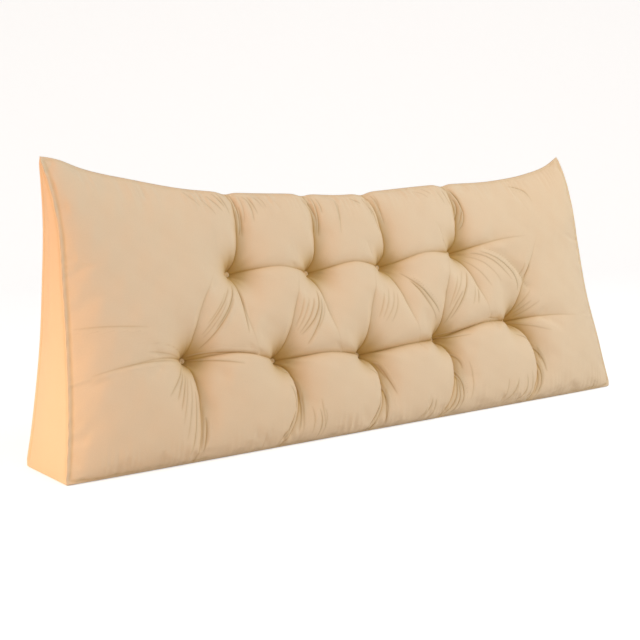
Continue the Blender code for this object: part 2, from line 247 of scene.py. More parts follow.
# Fine pleats of the tufted face, one by one: start, middle and end as (x, height), and kind
PLEATS = (
    # above the high tufts, up to the top seam
    ((-0.271, 0.387), (-0.265, 0.424), (-0.272, 0.469), DEEP_PLEAT),
    ((-0.267, 0.386), (-0.262, 0.416), (-0.262, 0.442), PLAIN_PLEAT),
    ((-0.259, 0.408), (-0.253, 0.439), (-0.257, 0.465), FAINT_PLEAT),
    ((-0.304, 0.432), (-0.315, 0.450), (-0.328, 0.466), PLAIN_PLEAT),
    ((-0.296, 0.440), (-0.303, 0.456), (-0.313, 0.471), PLAIN_PLEAT),
    ((-0.288, 0.426), (-0.294, 0.454), (-0.301, 0.471), PLAIN_PLEAT),
    ((-0.322, 0.425), (-0.331, 0.442), (-0.344, 0.460), FAINT_PLEAT),
    ((-0.350, 0.444), (-0.363, 0.461), (-0.374, 0.476), FAINT_PLEAT),
    ((-0.239, 0.410), (-0.237, 0.442), (-0.248, 0.461), PLAIN_PLEAT),
    ((-0.226, 0.424), (-0.231, 0.446), (-0.237, 0.461), PLAIN_PLEAT),
    ((-0.212, 0.437), (-0.217, 0.452), (-0.227, 0.463), FAINT_PLEAT),
    ((-0.203, 0.436), (-0.206, 0.450), (-0.212, 0.463), FAINT_PLEAT),
    ((-0.093, 0.380), (-0.088, 0.420), (-0.103, 0.454), PLAIN_PLEAT),
    ((-0.089, 0.379), (-0.082, 0.422), (-0.085, 0.457), DEEP_PLEAT),
    ((-0.073, 0.422), (-0.072, 0.438), (-0.075, 0.454), PLAIN_PLEAT),
    ((-0.095, 0.428), (-0.104, 0.442), (-0.108, 0.455), FAINT_PLEAT),
    ((-0.037, 0.403), (-0.033, 0.437), (-0.032, 0.455), FAINT_PLEAT),
    ((-0.044, 0.378), (-0.034, 0.416), (-0.027, 0.451), FAINT_PLEAT),
    ((0.031, 0.440), (0.023, 0.445), (0.007, 0.452), PLAIN_PLEAT),
    ((0.052, 0.413), (0.049, 0.436), (0.043, 0.453), DEEP_PLEAT),
    ((0.062, 0.380), (0.059, 0.410), (0.051, 0.434), DEEP_PLEAT),
    ((0.076, 0.418), (0.072, 0.442), (0.067, 0.458), PLAIN_PLEAT),
    ((0.082, 0.397), (0.078, 0.426), (0.072, 0.451), PLAIN_PLEAT),
    ((0.079, 0.432), (0.077, 0.446), (0.074, 0.459), FAINT_PLEAT),
    ((0.211, 0.446), (0.197, 0.460), (0.180, 0.467), FAINT_PLEAT),
    ((0.224, 0.455), (0.213, 0.465), (0.206, 0.472), FAINT_PLEAT),
    ((0.287, 0.388), (0.299, 0.432), (0.280, 0.467), DEEP_PLEAT),
    ((0.285, 0.377), (0.302, 0.414), (0.285, 0.468), DEEP_PLEAT),
    ((0.274, 0.429), (0.266, 0.447), (0.260, 0.464), PLAIN_PLEAT),
    ((0.268, 0.372), (0.289, 0.416), (0.285, 0.444), DEEP_PLEAT),
    ((0.254, 0.433), (0.247, 0.449), (0.240, 0.466), FAINT_PLEAT),
    ((0.511, 0.443), (0.500, 0.463), (0.463, 0.473), PLAIN_PLEAT),
    ((0.514, 0.428), (0.506, 0.455), (0.476, 0.471), FAINT_PLEAT),
    # between the two rows
    ((-0.312, 0.297), (-0.331, 0.262), (-0.372, 0.220), DEEP_PLEAT),
    ((-0.321, 0.272), (-0.355, 0.231), (-0.401, 0.191), DEEP_PLEAT),
    ((-0.324, 0.293), (-0.352, 0.258), (-0.398, 0.213), PLAIN_PLEAT),
    ((-0.336, 0.269), (-0.369, 0.232), (-0.396, 0.208), FAINT_PLEAT),
    ((-0.336, 0.284), (-0.364, 0.251), (-0.386, 0.231), FAINT_PLEAT),
    ((-0.300, 0.290), (-0.302, 0.250), (-0.306, 0.208), LONE_PLEAT),
    ((-0.129, 0.274), (-0.146, 0.230), (-0.186, 0.194), DEEP_PLEAT),
    ((-0.126, 0.260), (-0.143, 0.217), (-0.177, 0.175), DEEP_PLEAT),
    ((-0.144, 0.260), (-0.162, 0.226), (-0.190, 0.197), PLAIN_PLEAT),
    ((-0.156, 0.261), (-0.172, 0.230), (-0.195, 0.201), FAINT_PLEAT),
    ((-0.168, 0.263), (-0.179, 0.235), (-0.196, 0.211), FAINT_PLEAT),
    ((-0.120, 0.253), (-0.130, 0.227), (-0.152, 0.199), FAINT_PLEAT),
    ((0.046, 0.267), (0.031, 0.235), (0.013, 0.207), FAINT_PLEAT),
    ((0.057, 0.260), (0.042, 0.229), (0.017, 0.200), FAINT_PLEAT),
    ((0.064, 0.254), (0.051, 0.224), (0.032, 0.198), FAINT_PLEAT),
    ((0.028, 0.258), (0.017, 0.231), (0.004, 0.209), FAINT_PLEAT),
    ((0.090, 0.296), (0.138, 0.245), (0.166, 0.207), DEEP_PLEAT),
    ((0.107, 0.275), (0.133, 0.234), (0.160, 0.193), PLAIN_PLEAT),
    ((0.104, 0.277), (0.121, 0.255), (0.144, 0.221), PLAIN_PLEAT),
    ((0.266, 0.285), (0.240, 0.241), (0.196, 0.191), DEEP_PLEAT),
    ((0.237, 0.247), (0.209, 0.216), (0.186, 0.184), PLAIN_PLEAT),
    ((0.256, 0.290), (0.225, 0.248), (0.204, 0.220), FAINT_PLEAT),
    ((0.235, 0.280), (0.214, 0.245), (0.196, 0.213), FAINT_PLEAT),
    ((0.318, 0.327), (0.386, 0.285), (0.403, 0.236), DEEP_PLEAT),
    ((0.296, 0.326), (0.342, 0.305), (0.387, 0.259), PLAIN_PLEAT),
    ((0.286, 0.320), (0.322, 0.298), (0.355, 0.256), FAINT_PLEAT),
    ((0.276, 0.315), (0.301, 0.284), (0.322, 0.250), FAINT_PLEAT),
    ((0.285, 0.249), (0.279, 0.232), (0.271, 0.217), PLAIN_PLEAT),
    ((0.277, 0.255), (0.267, 0.232), (0.256, 0.216), FAINT_PLEAT),
    ((0.454, 0.295), (0.444, 0.275), (0.423, 0.253), FAINT_PLEAT),
    ((0.439, 0.296), (0.431, 0.279), (0.414, 0.262), FAINT_PLEAT),
    ((0.439, 0.212), (0.419, 0.201), (0.403, 0.189), FAINT_PLEAT),
    ((0.462, 0.210), (0.428, 0.194), (0.405, 0.183), FAINT_PLEAT),
    ((0.442, 0.234), (0.420, 0.214), (0.403, 0.197), FAINT_PLEAT),
    # along the rows
    ((-0.414, 0.182), (-0.361, 0.180), (-0.286, 0.169), DEEP_PLEAT),
    ((-0.412, 0.174), (-0.374, 0.166), (-0.324, 0.155), PLAIN_PLEAT),
    ((-0.445, 0.182), (-0.483, 0.190), (-0.518, 0.195), SOFT_PLEAT),
    ((-0.453, 0.174), (-0.526, 0.178), (-0.636, 0.168), BROAD_PLEAT),
    ((-0.511, 0.236), (-0.579, 0.243), (-0.665, 0.249), SOFT_PLEAT),
    ((0.346, 0.182), (0.322, 0.184), (0.301, 0.185), PLAIN_PLEAT),
    ((0.180, 0.164), (0.226, 0.168), (0.297, 0.178), PLAIN_PLEAT),
    ((0.182, 0.160), (0.201, 0.156), (0.243, 0.156), PLAIN_PLEAT),
    ((0.399, 0.172), (0.426, 0.160), (0.481, 0.143), FAINT_PLEAT),
    # below the low tufts, down to the bottom seam
    ((-0.442, 0.166), (-0.460, 0.143), (-0.486, 0.117), PLAIN_PLEAT),
    ((-0.446, 0.155), (-0.458, 0.132), (-0.471, 0.109), PLAIN_PLEAT),
    ((-0.442, 0.151), (-0.454, 0.122), (-0.467, 0.091), PLAIN_PLEAT),
    ((-0.439, 0.148), (-0.450, 0.115), (-0.466, 0.067), FAINT_PLEAT),
    ((-0.435, 0.140), (-0.444, 0.097), (-0.460, 0.041), FAINT_PLEAT),
    ((-0.431, 0.122), (-0.436, 0.071), (-0.453, 0.015), PLAIN_PLEAT),
    ((-0.414, 0.074), (-0.417, 0.046), (-0.426, 0.016), DEEP_PLEAT),
    ((-0.415, 0.096), (-0.422, 0.056), (-0.431, 0.021), FAINT_PLEAT),
    ((-0.230, 0.135), (-0.205, 0.096), (-0.220, 0.025), DEEP_PLEAT),
    ((-0.229, 0.107), (-0.221, 0.082), (-0.224, 0.064), PLAIN_PLEAT),
    ((-0.224, 0.061), (-0.236, 0.038), (-0.253, 0.012), DEEP_PLEAT),
    ((-0.246, 0.028), (-0.253, 0.022), (-0.256, 0.012), FAINT_PLEAT),
    ((-0.233, 0.044), (-0.248, 0.025), (-0.266, 0.007), PLAIN_PLEAT),
    ((-0.201, 0.091), (-0.205, 0.058), (-0.215, 0.013), FAINT_PLEAT),
    ((-0.188, 0.064), (-0.187, 0.038), (-0.194, 0.014), FAINT_PLEAT),
    ((-0.174, 0.058), (-0.172, 0.029), (-0.181, 0.005), PLAIN_PLEAT),
    ((-0.163, 0.056), (-0.161, 0.034), (-0.173, 0.004), FAINT_PLEAT),
    ((-0.031, 0.117), (-0.004, 0.068), (-0.017, 0.004), DEEP_PLEAT),
    ((-0.010, 0.126), (0.002, 0.107), (0.019, 0.060), DEEP_PLEAT),
    ((-0.012, 0.128), (-0.004, 0.114), (0.005, 0.093), PLAIN_PLEAT),
    ((-0.024, 0.063), (-0.031, 0.033), (-0.058, 0.003), DEEP_PLEAT),
    ((0.001, 0.075), (-0.007, 0.043), (-0.012, 0.007), PLAIN_PLEAT),
    ((-0.167, 0.075), (-0.166, 0.050), (-0.163, 0.020), FAINT_PLEAT),
    ((-0.035, 0.018), (-0.045, 0.006), (-0.069, 0.003), PLAIN_PLEAT),
    ((0.175, 0.098), (0.193, 0.072), (0.192, 0.051), PLAIN_PLEAT),
    ((0.177, 0.110), (0.199, 0.058), (0.181, 0.010), DEEP_PLEAT),
    ((0.178, 0.131), (0.200, 0.112), (0.206, 0.090), PLAIN_PLEAT),
    ((0.105, 0.041), (0.100, 0.023), (0.080, 0.007), PLAIN_PLEAT),
    ((0.194, 0.085), (0.177, 0.033), (0.141, 0.003), DEEP_PLEAT),
    ((0.193, 0.068), (0.182, 0.025), (0.157, 0.005), DEEP_PLEAT),
    ((0.092, 0.028), (0.085, 0.013), (0.070, 0.003), FAINT_PLEAT),
    ((0.116, 0.040), (0.112, 0.017), (0.097, 0.003), PLAIN_PLEAT),
    ((0.221, 0.104), (0.224, 0.063), (0.211, 0.025), FAINT_PLEAT),
    ((0.378, 0.147), (0.435, 0.110), (0.451, 0.059), DEEP_PLEAT),
    ((0.411, 0.124), (0.438, 0.062), (0.412, 0.007), DEEP_PLEAT),
    ((0.425, 0.093), (0.430, 0.050), (0.403, 0.005), PLAIN_PLEAT),
    ((0.353, 0.053), (0.341, 0.025), (0.316, 0.007), PLAIN_PLEAT),
    ((0.323, 0.056), (0.319, 0.028), (0.304, 0.006), FAINT_PLEAT),
    ((0.382, 0.058), (0.379, 0.025), (0.351, 0.005), PLAIN_PLEAT),
    ((0.400, 0.064), (0.398, 0.023), (0.374, 0.004), PLAIN_PLEAT),
    ((0.441, 0.115), (0.443, 0.100), (0.445, 0.083), FAINT_PLEAT),
    ((0.611, 0.014), (0.613, 0.007), (0.609, 0.003), FAINT_PLEAT),
    ((0.672, 0.025), (0.668, 0.016), (0.662, 0.005), FAINT_PLEAT),
)

# Slow ripples of the filled cloth: waves per metre along X and along the height, phase, share of the depth
RIPPLES = (
    (11.0, 7.0, 0.4, 0.40),
    (-8.0, 15.0, 2.1, 0.30),
    (23.0, -9.0, 4.0, 0.18),
    (17.0, 26.0, 1.3, 0.12),
)

# A covered button's profile from its rim's underside to its middle: share of the radius, share of the height
BUTTON_PROFILE = (
    (0.00, 0.00),
    (0.86, 0.00),
    (0.97, 0.16),
    (1.00, 0.36),
    (0.94, 0.56),
    (0.80, 0.68),
    (0.62, 0.66),
    (0.50, 0.60),
    (0.42, 0.66),
    (0.34, 0.86),
    (0.20, 0.97),
    (0.00, 1.00),
)
BUTTON_STEPS = 40
BUTTON_GATHERS = 12     # small folds of the cloth drawn under the rim
GATHERS_FROM = 0.6      # share of the radius where they start
GATHERS_PINCH = 0.035   # how far they draw the rim in

# Cloth material: patterns for each metre, and shares of its tones, of its painted light and of its painted
# shade
SLUB_SCALE = 420.0      # thicker and thinner stretches of the threads
FUZZ_SCALE = 1900.0     # nap
FADE_SCALE = 3.1        # slow fading
FLECK_SCALE = 46.0
FADE_SHARE = 0.28       # how far fading and flecks go to the worn colour
FLECK_SHARE = 0.10
OPEN_LIGHT_SHARE = 0.35       # painted light: how much further the open cloth between the folds goes to the paler colour
OPEN_MARK = 0.25        # fold mark at which the cloth is no longer open
THREAD_VALUE = 0.0694   # how much lighter the threads' tone makes the cloth: painted light on raised threads, and the slubs' own tone
OVER_SHARE = 0.3        # the weave's part in the threads' tone: painted light on raised threads and painted shade between them
NAP_SHARE = 0.55        # nap in the relief of the weave
WEAVE_STRENGTH = 0.45
WEAVE_RELIEF = 0.00025  # height of the threads
ROUGHEST = 0.92
FLECK_GLOSS = 0.12      # how much less rough a fleck is
VALLEY_MARKS = (0.08, 0.65)     # fold marks from which the valleys' painted shade comes in, and is full
WELL_MARKS = (0.6, 1.0)         # and the wells' painted shade
MOST_LINE = 0.8         # largest shares of the lines' painted shade and of the lips' painted highlight
MOST_LIP = 0.7

# Studio
CAMERA_PLACE = (-1.343, -1.7388, 0.455)
CAMERA_YAW = math.radians(35.625)
CAMERA_PITCH = math.radians(6.317)
CAMERA_ROLL = math.radians(-1.541)
CAMERA_LENS = 61.09     # mm on a 36 mm sensor
SENSOR = 36.0
BACKDROP_WIDTH = 16.0
BACKDROP_FRONT = -5.0
BACKDROP_REAR = 4.0
BACKDROP_SWEEP = 2.0    # radius of the curve between floor and wall
BACKDROP_HEIGHT = 6.0
BACKDROP_STEPS = 24     # straight pieces of that curve
LEFT_SKY = (0.45, 0.95)     # how far left the room's light turns warm, and is fully warm


class PillowCoverSettings(bpy.types.PropertyGroup):
    """Sizes and colours of the sewn cover."""

    seam_ridge: bpy.props.FloatProperty(
        name="Seam ridge", description="How far the sewn seams stand proud", default=0.0024, unit="LENGTH"
    )
    gather_depth: bpy.props.FloatProperty(
        name="Gather depth", description="Depth of the gathers along the seams", default=0.0011, unit="LENGTH"
    )
    gather_pitch: bpy.props.FloatProperty(
        name="Gather pitch", description="Distance between two gathers", default=0.013, unit="LENGTH"
    )
    pleat_share: bpy.props.FloatProperty(
        name="Pleats", description="Depth of the bends at the fine pleats, 1 as listed", default=0.65
    )
    line_relief: bpy.props.FloatProperty(
        name="Pleat lines", description="Depth of the pleats' sharp lines, 1 as listed", default=0.16
    )
    line_shade: bpy.props.FloatProperty(
        name="Pleat shade", description="Share of the lines' colour for each metre of depth", default=210.0
    )
    band_shade: bpy.props.FloatProperty(
        name="Pleat band", description="Share of the valleys' colour beside a line", default=80.0
    )
    fold_shade: bpy.props.FloatProperty(
        name="Fold shade", description="Share of the valleys' colour deep in a fold", default=0.75
    )
    seam_shade: bpy.props.FloatProperty(
        name="Seam shade", description="Share of the valleys' colour beside a seam", default=0.45
    )
    pucker_depth: bpy.props.FloatProperty(
        name="Pucker depth", description="Rays of drawn cloth around a button", default=0.0012, unit="LENGTH"
    )
    ripple_depth: bpy.props.FloatProperty(
        name="Ripple depth", description="Slow unevenness of the filling", default=0.0014, unit="LENGTH"
    )
    filling_pressure: bpy.props.FloatProperty(
        name="Pressure", description="Pressure of the filling behind the front panel", default=4.0
    )
    cloth_ease: bpy.props.FloatProperty(
        name="Ease", description="Share by which the front's cloth is larger than its shape", default=0.008
    )
    fold_hold: bpy.props.FloatProperty(
        name="Fold hold", description="How firmly the tufts' threads hold the folds", default=1.3
    )
    cloth_colour: bpy.props.FloatVectorProperty(
        name="Cloth", description="Colour of the cloth", default=(0.899, 0.697, 0.464), subtype="COLOR"
    )
    # Painted shade: the warm darker colour drawn into the folds' valleys, the seam grooves and the pleats'
    # bands
    valley_shade_colour: bpy.props.FloatVectorProperty(
        name="Valleys", description="Colour deep in the folds", default=(0.675, 0.455, 0.150), subtype="COLOR"
    )
    # Painted shade: the warm darker colour drawn into the wells around the buttons
    well_shade_colour: bpy.props.FloatVectorProperty(
        name="Wells", description="Colour around the buttons", default=(0.74, 0.52, 0.18), subtype="COLOR"
    )
    # Painted shade: the dark colour drawn along the sharp lines of creases and pleats
    line_shade_colour: bpy.props.FloatVectorProperty(
        name="Lines", description="Colour in the pleats' lines", default=(0.50, 0.26, 0.06), subtype="COLOR"
    )
    # Painted highlight: the paler colour drawn on the raised lips beside the pleats' lines
    lip_shine: bpy.props.FloatProperty(
        name="Lip shine", description="Share of the lips' colour for each metre of depth", default=260.0
    )
    lip_highlight_colour: bpy.props.FloatVectorProperty(
        name="Lips", description="Cloth on the pleats' lips", default=(0.85, 0.70, 0.48), subtype="COLOR"
    )
    # Paler colour of the random fading and flecks, and also of the painted light on the cover's open crowns
    worn_and_lit_colour: bpy.props.FloatVectorProperty(
        name="Worn cloth", description="Paler nap on crowns", default=(0.948, 0.759, 0.536), subtype="COLOR"
    )
    thread_pitch: bpy.props.FloatProperty(
        name="Thread pitch", description="Distance between two threads", default=0.0007, unit="LENGTH"
    )
    sheen: bpy.props.FloatProperty(
        name="Sheen", description="Soft sheen of the nap", default=0.22, subtype="FACTOR"
    )


class PillowButtonSettings(bpy.types.PropertyGroup):
    """Sizes and colour of the cloth-covered buttons."""

    radius: bpy.props.FloatProperty(
        name="Radius", description="Button's radius", default=0.0050, unit="LENGTH"
    )
    height: bpy.props.FloatProperty(
        name="Height", description="Button's height", default=0.0042, unit="LENGTH"
    )
    colour: bpy.props.FloatVectorProperty(
        name="Cloth", description="Colour of the button's cloth", default=(1.0, 0.792, 0.490), subtype="COLOR"
    )


class PillowStageSettings(bpy.types.PropertyGroup):
    """Light and floor of the studio."""

    floor_colour: bpy.props.FloatVectorProperty(
        name="Floor", description="Colour of floor and backdrop", default=(0.74, 0.74, 0.74), subtype="COLOR"
    )
    floor_glow: bpy.props.FloatProperty(
        name="Backlit paper", description="Light that the camera sees through the backdrop", default=0.62
    )
    sky_strength: bpy.props.FloatProperty(
        name="Room light", description="Even light from all sides", default=0.56
    )
    left_sky: bpy.props.FloatVectorProperty(
        name="Left room", description="Light from the left", default=(0.74, 0.50, 0.30), subtype="COLOR"
    )
    key_power: bpy.props.FloatProperty(
        name="Key light", description="Soft light above on the right", default=18.0, subtype="POWER"
    )
    warm_power: bpy.props.FloatProperty(
        name="Warm light", description="Warm light from the left", default=9.5, subtype="POWER"
    )
    low_power: bpy.props.FloatProperty(
        name="Low light", description="Pale light low on the left", default=1.1, subtype="POWER"
    )


def between(start, end, start_slope, end_slope, t, width=1.0):
    """The smooth curve from start to end, at the shares t of its width."""
    stay = 1 - t
    by_slope = width * (start_slope * t * stay**2 - end_slope * t**2 * stay)
    return start * (1 + 2 * t) * stay**2 + end * (3 - 2 * t) * t**2 + by_slope


def through(rows, column, at):
    """A smooth curve through a table's rows, read at the places given."""
    places = np.array([row[0] for row in rows])
    values = np.array([row[column] for row in rows])
    slopes = np.gradient(values, places)
    at = np.clip(at, places[0], places[-1])
    low = np.clip(np.searchsorted(places, at) - 1, 0, len(places) - 2)
    width = places[low + 1] - places[low]
    t = (at - places[low]) / width
    return between(values[low], values[low + 1], slopes[low], slopes[low + 1], t, width)


def bottom_height(x):
    """Height of the bottom seams, which turn up at the corners."""
    return SEAM_LIFT + CORNER_LIFT * np.abs(x / (LENGTH / 2)) ** CORNER_REACH


def top_height(x):
    """Height of the top seam, with its small dips where folds meet it."""
    height = through(TOP_SEAM, 1, x / (LENGTH / 2))
    for _, levels, depths in FOLD_LINES:
        height = height - TOP_DIP * depths[-1] * np.exp(-(((x - levels[-1]) / DIP_HALF) ** 2))
    return height


def level_heights(x):
    """Heights of the seven levels at a place along X."""
    bottom, top = bottom_height(x), top_height(x)
    low, high = through(LOW_ROW, 1, x), through(HIGH_ROW, 1, x)
    return bottom, (bottom + low) / 2, low, (low + high) / 2, high, (high + top) / 2, top


def tufts():
    """Name, distance along X and height of every tuft."""
    found = []
    for row, word in ((2, "low"), (4, "high")):
        lines = [levels for tuft_row, levels, _ in FOLD_LINES if tuft_row == row]
        for count, levels in enumerate(lines, 1):
            found.append((f"{word}_{count}", levels[row], float(level_heights(levels[row])[row])))
    return found


def bowed(start, middle, end, t):
    """Places at the shares t of the smooth curve from start to end through middle."""
    return start + (end - start) * t + (middle - (start + end) / 2) * 4 * t * (1 - t)


def curved(start, middle, end):
    """Points of the smooth curve through three places."""
    t = np.linspace(0, 1, CREASE_STEPS + 1)[:, None]
    return bowed(np.array(start), np.array(middle), np.array(end), t)


def creases():
    """Points, depths and half widths, left and right of its run, of every crease of the tufted face."""
    found = []
    for _, levels, depths in FOLD_LINES:
        places = [(x, float(level_heights(x)[k])) for k, x in enumerate(levels)]
        for k in (0, 2, 4):
            half_widths = (FOLD_HALF, FOLD_HALF * FOLD_OPENING)
            found.append((curved(*places[k : k + 3]), depths[k : k + 3], half_widths))
    for row, start, end, depths, half_width in ROW_CREASES:
        x = np.linspace(start, end, CREASE_STEPS + 1)
        found.append((np.stack([x, level_heights(x)[row]], axis=-1), depths, (half_width, half_width)))
    for start, middle, end, depths, half_width in LOOSE_FOLDS:
        found.append((curved(start, middle, end), depths, (half_width, half_width)))
    return [crease for crease in found if max(crease[1]) > 0]


def nearest(points, x, z):
    """Distance from each (x, z) to a line, share along it of the nearest place, and 1 or -1 by side."""
    best = np.full(np.shape(x), np.inf)
    share = np.zeros(np.shape(x))
    side = np.ones(np.shape(x))
    for i, (a, b) in enumerate(zip(points, points[1:])):
        run = b - a
        t = np.clip(((x - a[0]) * run[0] + (z - a[1]) * run[1]) / (run @ run), 0, 1)
        across_x, across_z = x - a[0] - t * run[0], z - a[1] - t * run[1]
        gap = np.hypot(across_x, across_z)
        closer = gap < best
        share = np.where(closer, (i + t) / (len(points) - 1), share)
        side = np.where(closer, np.sign(run[1] * across_x - run[0] * across_z), side)
        best = np.where(closer, gap, best)
    return best, share, side


def depth_along(depths, share):
    """Depth of a crease at a share of its length: it changes fast beside a tuft, then slowly."""
    start, middle, end = depths
    to_start, to_end = np.clip(1 - 2 * share, 0, 1), np.clip(2 * share - 1, 0, 1)
    to_start = to_start**2 if start > middle else 1 - (1 - to_start) ** 2
    to_end = to_end**2 if end > middle else 1 - (1 - to_end) ** 2
    return middle + (start - middle) * to_start + (end - middle) * to_end


def sunk(x, z):
    """How far the cover is drawn in at each place, from 0 on a cell's crown to 1 at a button."""
    total = np.zeros(np.shape(x))
    for _, tuft_x, tuft_z in tufts():
        well = WELL_FLOOR * np.exp(-np.hypot(x - tuft_x, z - tuft_z) / WELL_RADIUS)
        total = total + well**JOIN_POWER
    for points, depths, (left_half, right_half) in creases():
        gap, share, side = nearest(points, x, z)
        half_width = np.where(side > 0, right_half, left_half)
        depth = depth_along(depths, share) * np.exp(-((gap / half_width) ** CREASE_SHAPE))
        total = total + depth**JOIN_POWER
    return np.minimum(total ** (1 / JOIN_POWER), 1.0)


def crown(u, v):
    """Share of the full crown, 0 on every seam and 1 in the middle of a face."""
    low = np.clip(v, 0, 1) ** CROWN_LOW
    rise = np.clip(4 * low * (1 - low), 0, 1) ** CROWN_ROUND
    return rise * np.clip(1 - np.abs(u) ** END_REACH, 0, 1) ** END_ROUND


def drawn_in(x, v):
    """Places along X, and how far the end seams bulge forward, once the filling draws the ends in."""
    at_end = np.abs(x / (LENGTH / 2)) ** (END_REACH - 2)
    return x - np.sign(x) * through(END_SEAM, 1, v) * at_end, through(END_SEAM, 2, v) * at_end


def bump(distance, width):
    """1 at distance 0, falling away smoothly over the width."""
    return np.exp(-((distance / width) ** 2))


def seam_profile(distance):
    """Height of a sewn seam at a distance from its line: a ridge, and the groove beside it."""
    groove = bump(distance - GROOVE_PLACE * RIDGE_HALF, RIDGE_HALF)
    return bump(distance, RIDGE_HALF) - GROOVE_SHARE * groove


def corner_fade(distance):
    """0 in a corner and 1 away from it."""
    return 1 - bump(distance, CORNER_FADE)


def pleat_lines():
    """Points, depth and half width of every fine pleat."""
    return [(curved(*places), *kind) for *places, kind in PLEATS]


def pleats(x, z):
    """Relief of the fine pleats: a groove with a raised lip on one side, fading out at both ends."""
    relief = np.zeros(np.shape(x))
    for points, depth, sharp in pleat_lines():
        half_width = sharp * PLEAT_SOFT
        near = beside(points, x, z, PLEAT_REACH * half_width)
        gap, share, side = nearest(points, x[near], z[near])
        lip = bump(gap * side + LIP_PLACE * half_width, half_width)
        relief[near] += depth * fading(share) * (LIP_SHARE * lip - bump(gap, half_width))
    return relief


def beside(points, x, z, reach):
    """Which places lie within reach of the box around a line."""
    (low_x, low_z), (high_x, high_z) = points.min(axis=0), points.max(axis=0)
    near_x = (x > low_x - reach) & (x < high_x + reach)
    return near_x & (z > low_z - reach) & (z < high_z + reach)


def fading(share):
    """1 along the middle of a pleat, 0 at its ends."""
    return np.clip(4 * share * (1 - share), 0, 1) ** 0.5


def layered_pleats():
    """The pleats shared out over layers, so that neighbours lie in different ones."""
    layers = [[] for _ in range(PLEAT_LAYERS)]
    for pleat in pleat_lines():
        clear = []
        for layer in layers:
            gaps = [float(nearest(other[0], *pleat[0].T)[0].min()) for other in layer]
            clear.append(min(gaps, default=1.0))
        room = [k for k, gap in enumerate(clear) if gap > 2 * LAYER_REACH]
        layers[room[0] if room else clear.index(max(clear))].append(pleat)
    return layers


def pleat_marks(x, z):
    """For each layer, the distance to the nearest pleat, below 0 on its lip's side, and its depth there."""
    marks = {}
    for count, layer in enumerate(layered_pleats(), 1):
        across = np.full(np.shape(x), LAYER_REACH)
        depth_here = np.zeros(np.shape(x))
        for points, depth, _ in layer:
            near = beside(points, x, z, LAYER_REACH)
            gap, share, side = nearest(points, x[near], z[near])
            closer = gap < np.abs(across[near])
            across[near] = np.where(closer, gap * side, across[near])
            clear = np.clip((LAYER_REACH - gap) / (LAYER_REACH - LAYER_CORE), 0, 1)
            depth_here[near] = np.where(closer, depth * fading(share) * clear, depth_here[near])
        marks[f"pleat_{count}"] = across
        marks[f"pleat_{count}_depth"] = depth_here
    return marks


def crease_marks(x, z):
    """Distance to the nearest crease's bottom, and the depth of its sharp line there."""
    across = np.full(np.shape(x), LAYER_REACH)
    depth_here = np.zeros(np.shape(x))
    for points, depths, _ in creases():
        near = beside(points, x, z, LAYER_REACH)
        gap, share, _ = nearest(points, x[near], z[near])
        closer = gap < across[near]
        across[near] = np.where(closer, gap, across[near])
        line = CREASE_LINE * np.sqrt(np.clip(depth_along(depths, share), 0, 1))
        depth_here[near] = np.where(closer, line, depth_here[near])
    return {"crease": across, "crease_depth": depth_here}


def puckers(x, z):
    """Relief of the rays of drawn cloth around every button."""
    relief = np.zeros(np.shape(x))
    main, extra = PUCKER_RAYS
    for count, (_, tuft_x, tuft_z) in enumerate(tufts()):
        away = np.hypot(x - tuft_x, z - tuft_z) / PUCKER_REACH
        turn = np.arctan2(z - tuft_z, x - tuft_x)
        rays = np.cos(main * turn + count) + PUCKER_SHARE * np.cos(extra * turn - 2 * count)
        relief += rays * away * np.exp(1 - away**2)
    return relief / (1 + PUCKER_SHARE)


def ripples(x, z):
    """Slow unevenness of the filled cloth."""
    relief = np.zeros(np.shape(x))
    for along_x, along_z, phase, share in RIPPLES:
        relief += share * np.sin(2 * math.pi * (along_x * x + along_z * z) + phase)
    return relief


def gathers(x, from_seam, pitch):
    """Relief of the small gathers that run in from a seam."""
    (drift, drift_run), (patch, patch_run, patch_turn) = GATHER_DRIFT, GATHER_PATCHES
    wave = np.sin(2 * math.pi * x / pitch + drift * np.sin(2 * math.pi * x / (drift_run * pitch)))
    patchy = 1 - patch + patch * np.sin(2 * math.pi * x / (patch_run * pitch) + patch_turn)
    return wave * patchy * np.exp(-((from_seam / GATHER_REACH) ** 2))


def widths_from(edge):
    """Widths between grid lines beside an edge, growing up to the plain grid's."""
    widths = []
    while edge < GRID_STEP:
        widths.append(edge)
        edge *= STEP_GROWTH
    return widths


def grid_shares(length, first, last):
    """Shares of a length at which grid lines lie, closest beside its two ends."""
    before, after = widths_from(first), widths_from(last)
    middle = length - sum(before) - sum(after)
    count = max(1, round(middle / GRID_STEP))
    widths = np.array([*before, *[middle / count] * count, *reversed(after)])
    return np.concatenate([[0], np.cumsum(widths)]) / widths.sum()


def cut_counts(widths, parts):
    """In how many parts each gap between two lines is cut on the tufted face."""
    return np.where(np.array(widths) > WIDE_GAP, parts, 1)


def cut_places(counts):
    """Where the cut lines lie, counted in gaps between the lines before the cut."""
    return np.concatenate([k + np.arange(count) / count for k, count in enumerate(counts)] + [[len(counts)]])


def finer(lines, counts):
    """The same lines with each gap between them cut in equal parts."""
    gaps = len(counts)
    at = cut_places(counts)
    flat = lines.reshape(gaps + 1, -1)
    cut = [np.interp(at, np.arange(gaps + 1), column) for column in flat.T]
    return np.stack(cut, axis=-1).reshape(-1, *lines.shape[1:])


def column_levels():
    """Every line up the face: places along X at the seven levels, and how each gap between them is cut."""
    half = LENGTH / 2
    knots = [np.array(line[1]) for line in FOLD_LINES]
    count = len(knots[0])
    knots = [np.full(count, -half), *knots, np.full(count, half)]
    lines = []
    for i, (a, b) in enumerate(zip(knots, knots[1:])):
        first = SEAM_STEP if i == 0 else FOLD_STEP
        last = SEAM_STEP if i == len(knots) - 2 else FOLD_STEP
        shares = grid_shares(float((b - a).mean()), first, last)
        lines.extend(a + (b - a) * share for share in shares[:-1])
    lines = np.array([*lines, knots[-1]])
    return lines, cut_counts(np.diff(lines.mean(axis=1)), FINER_ACROSS)


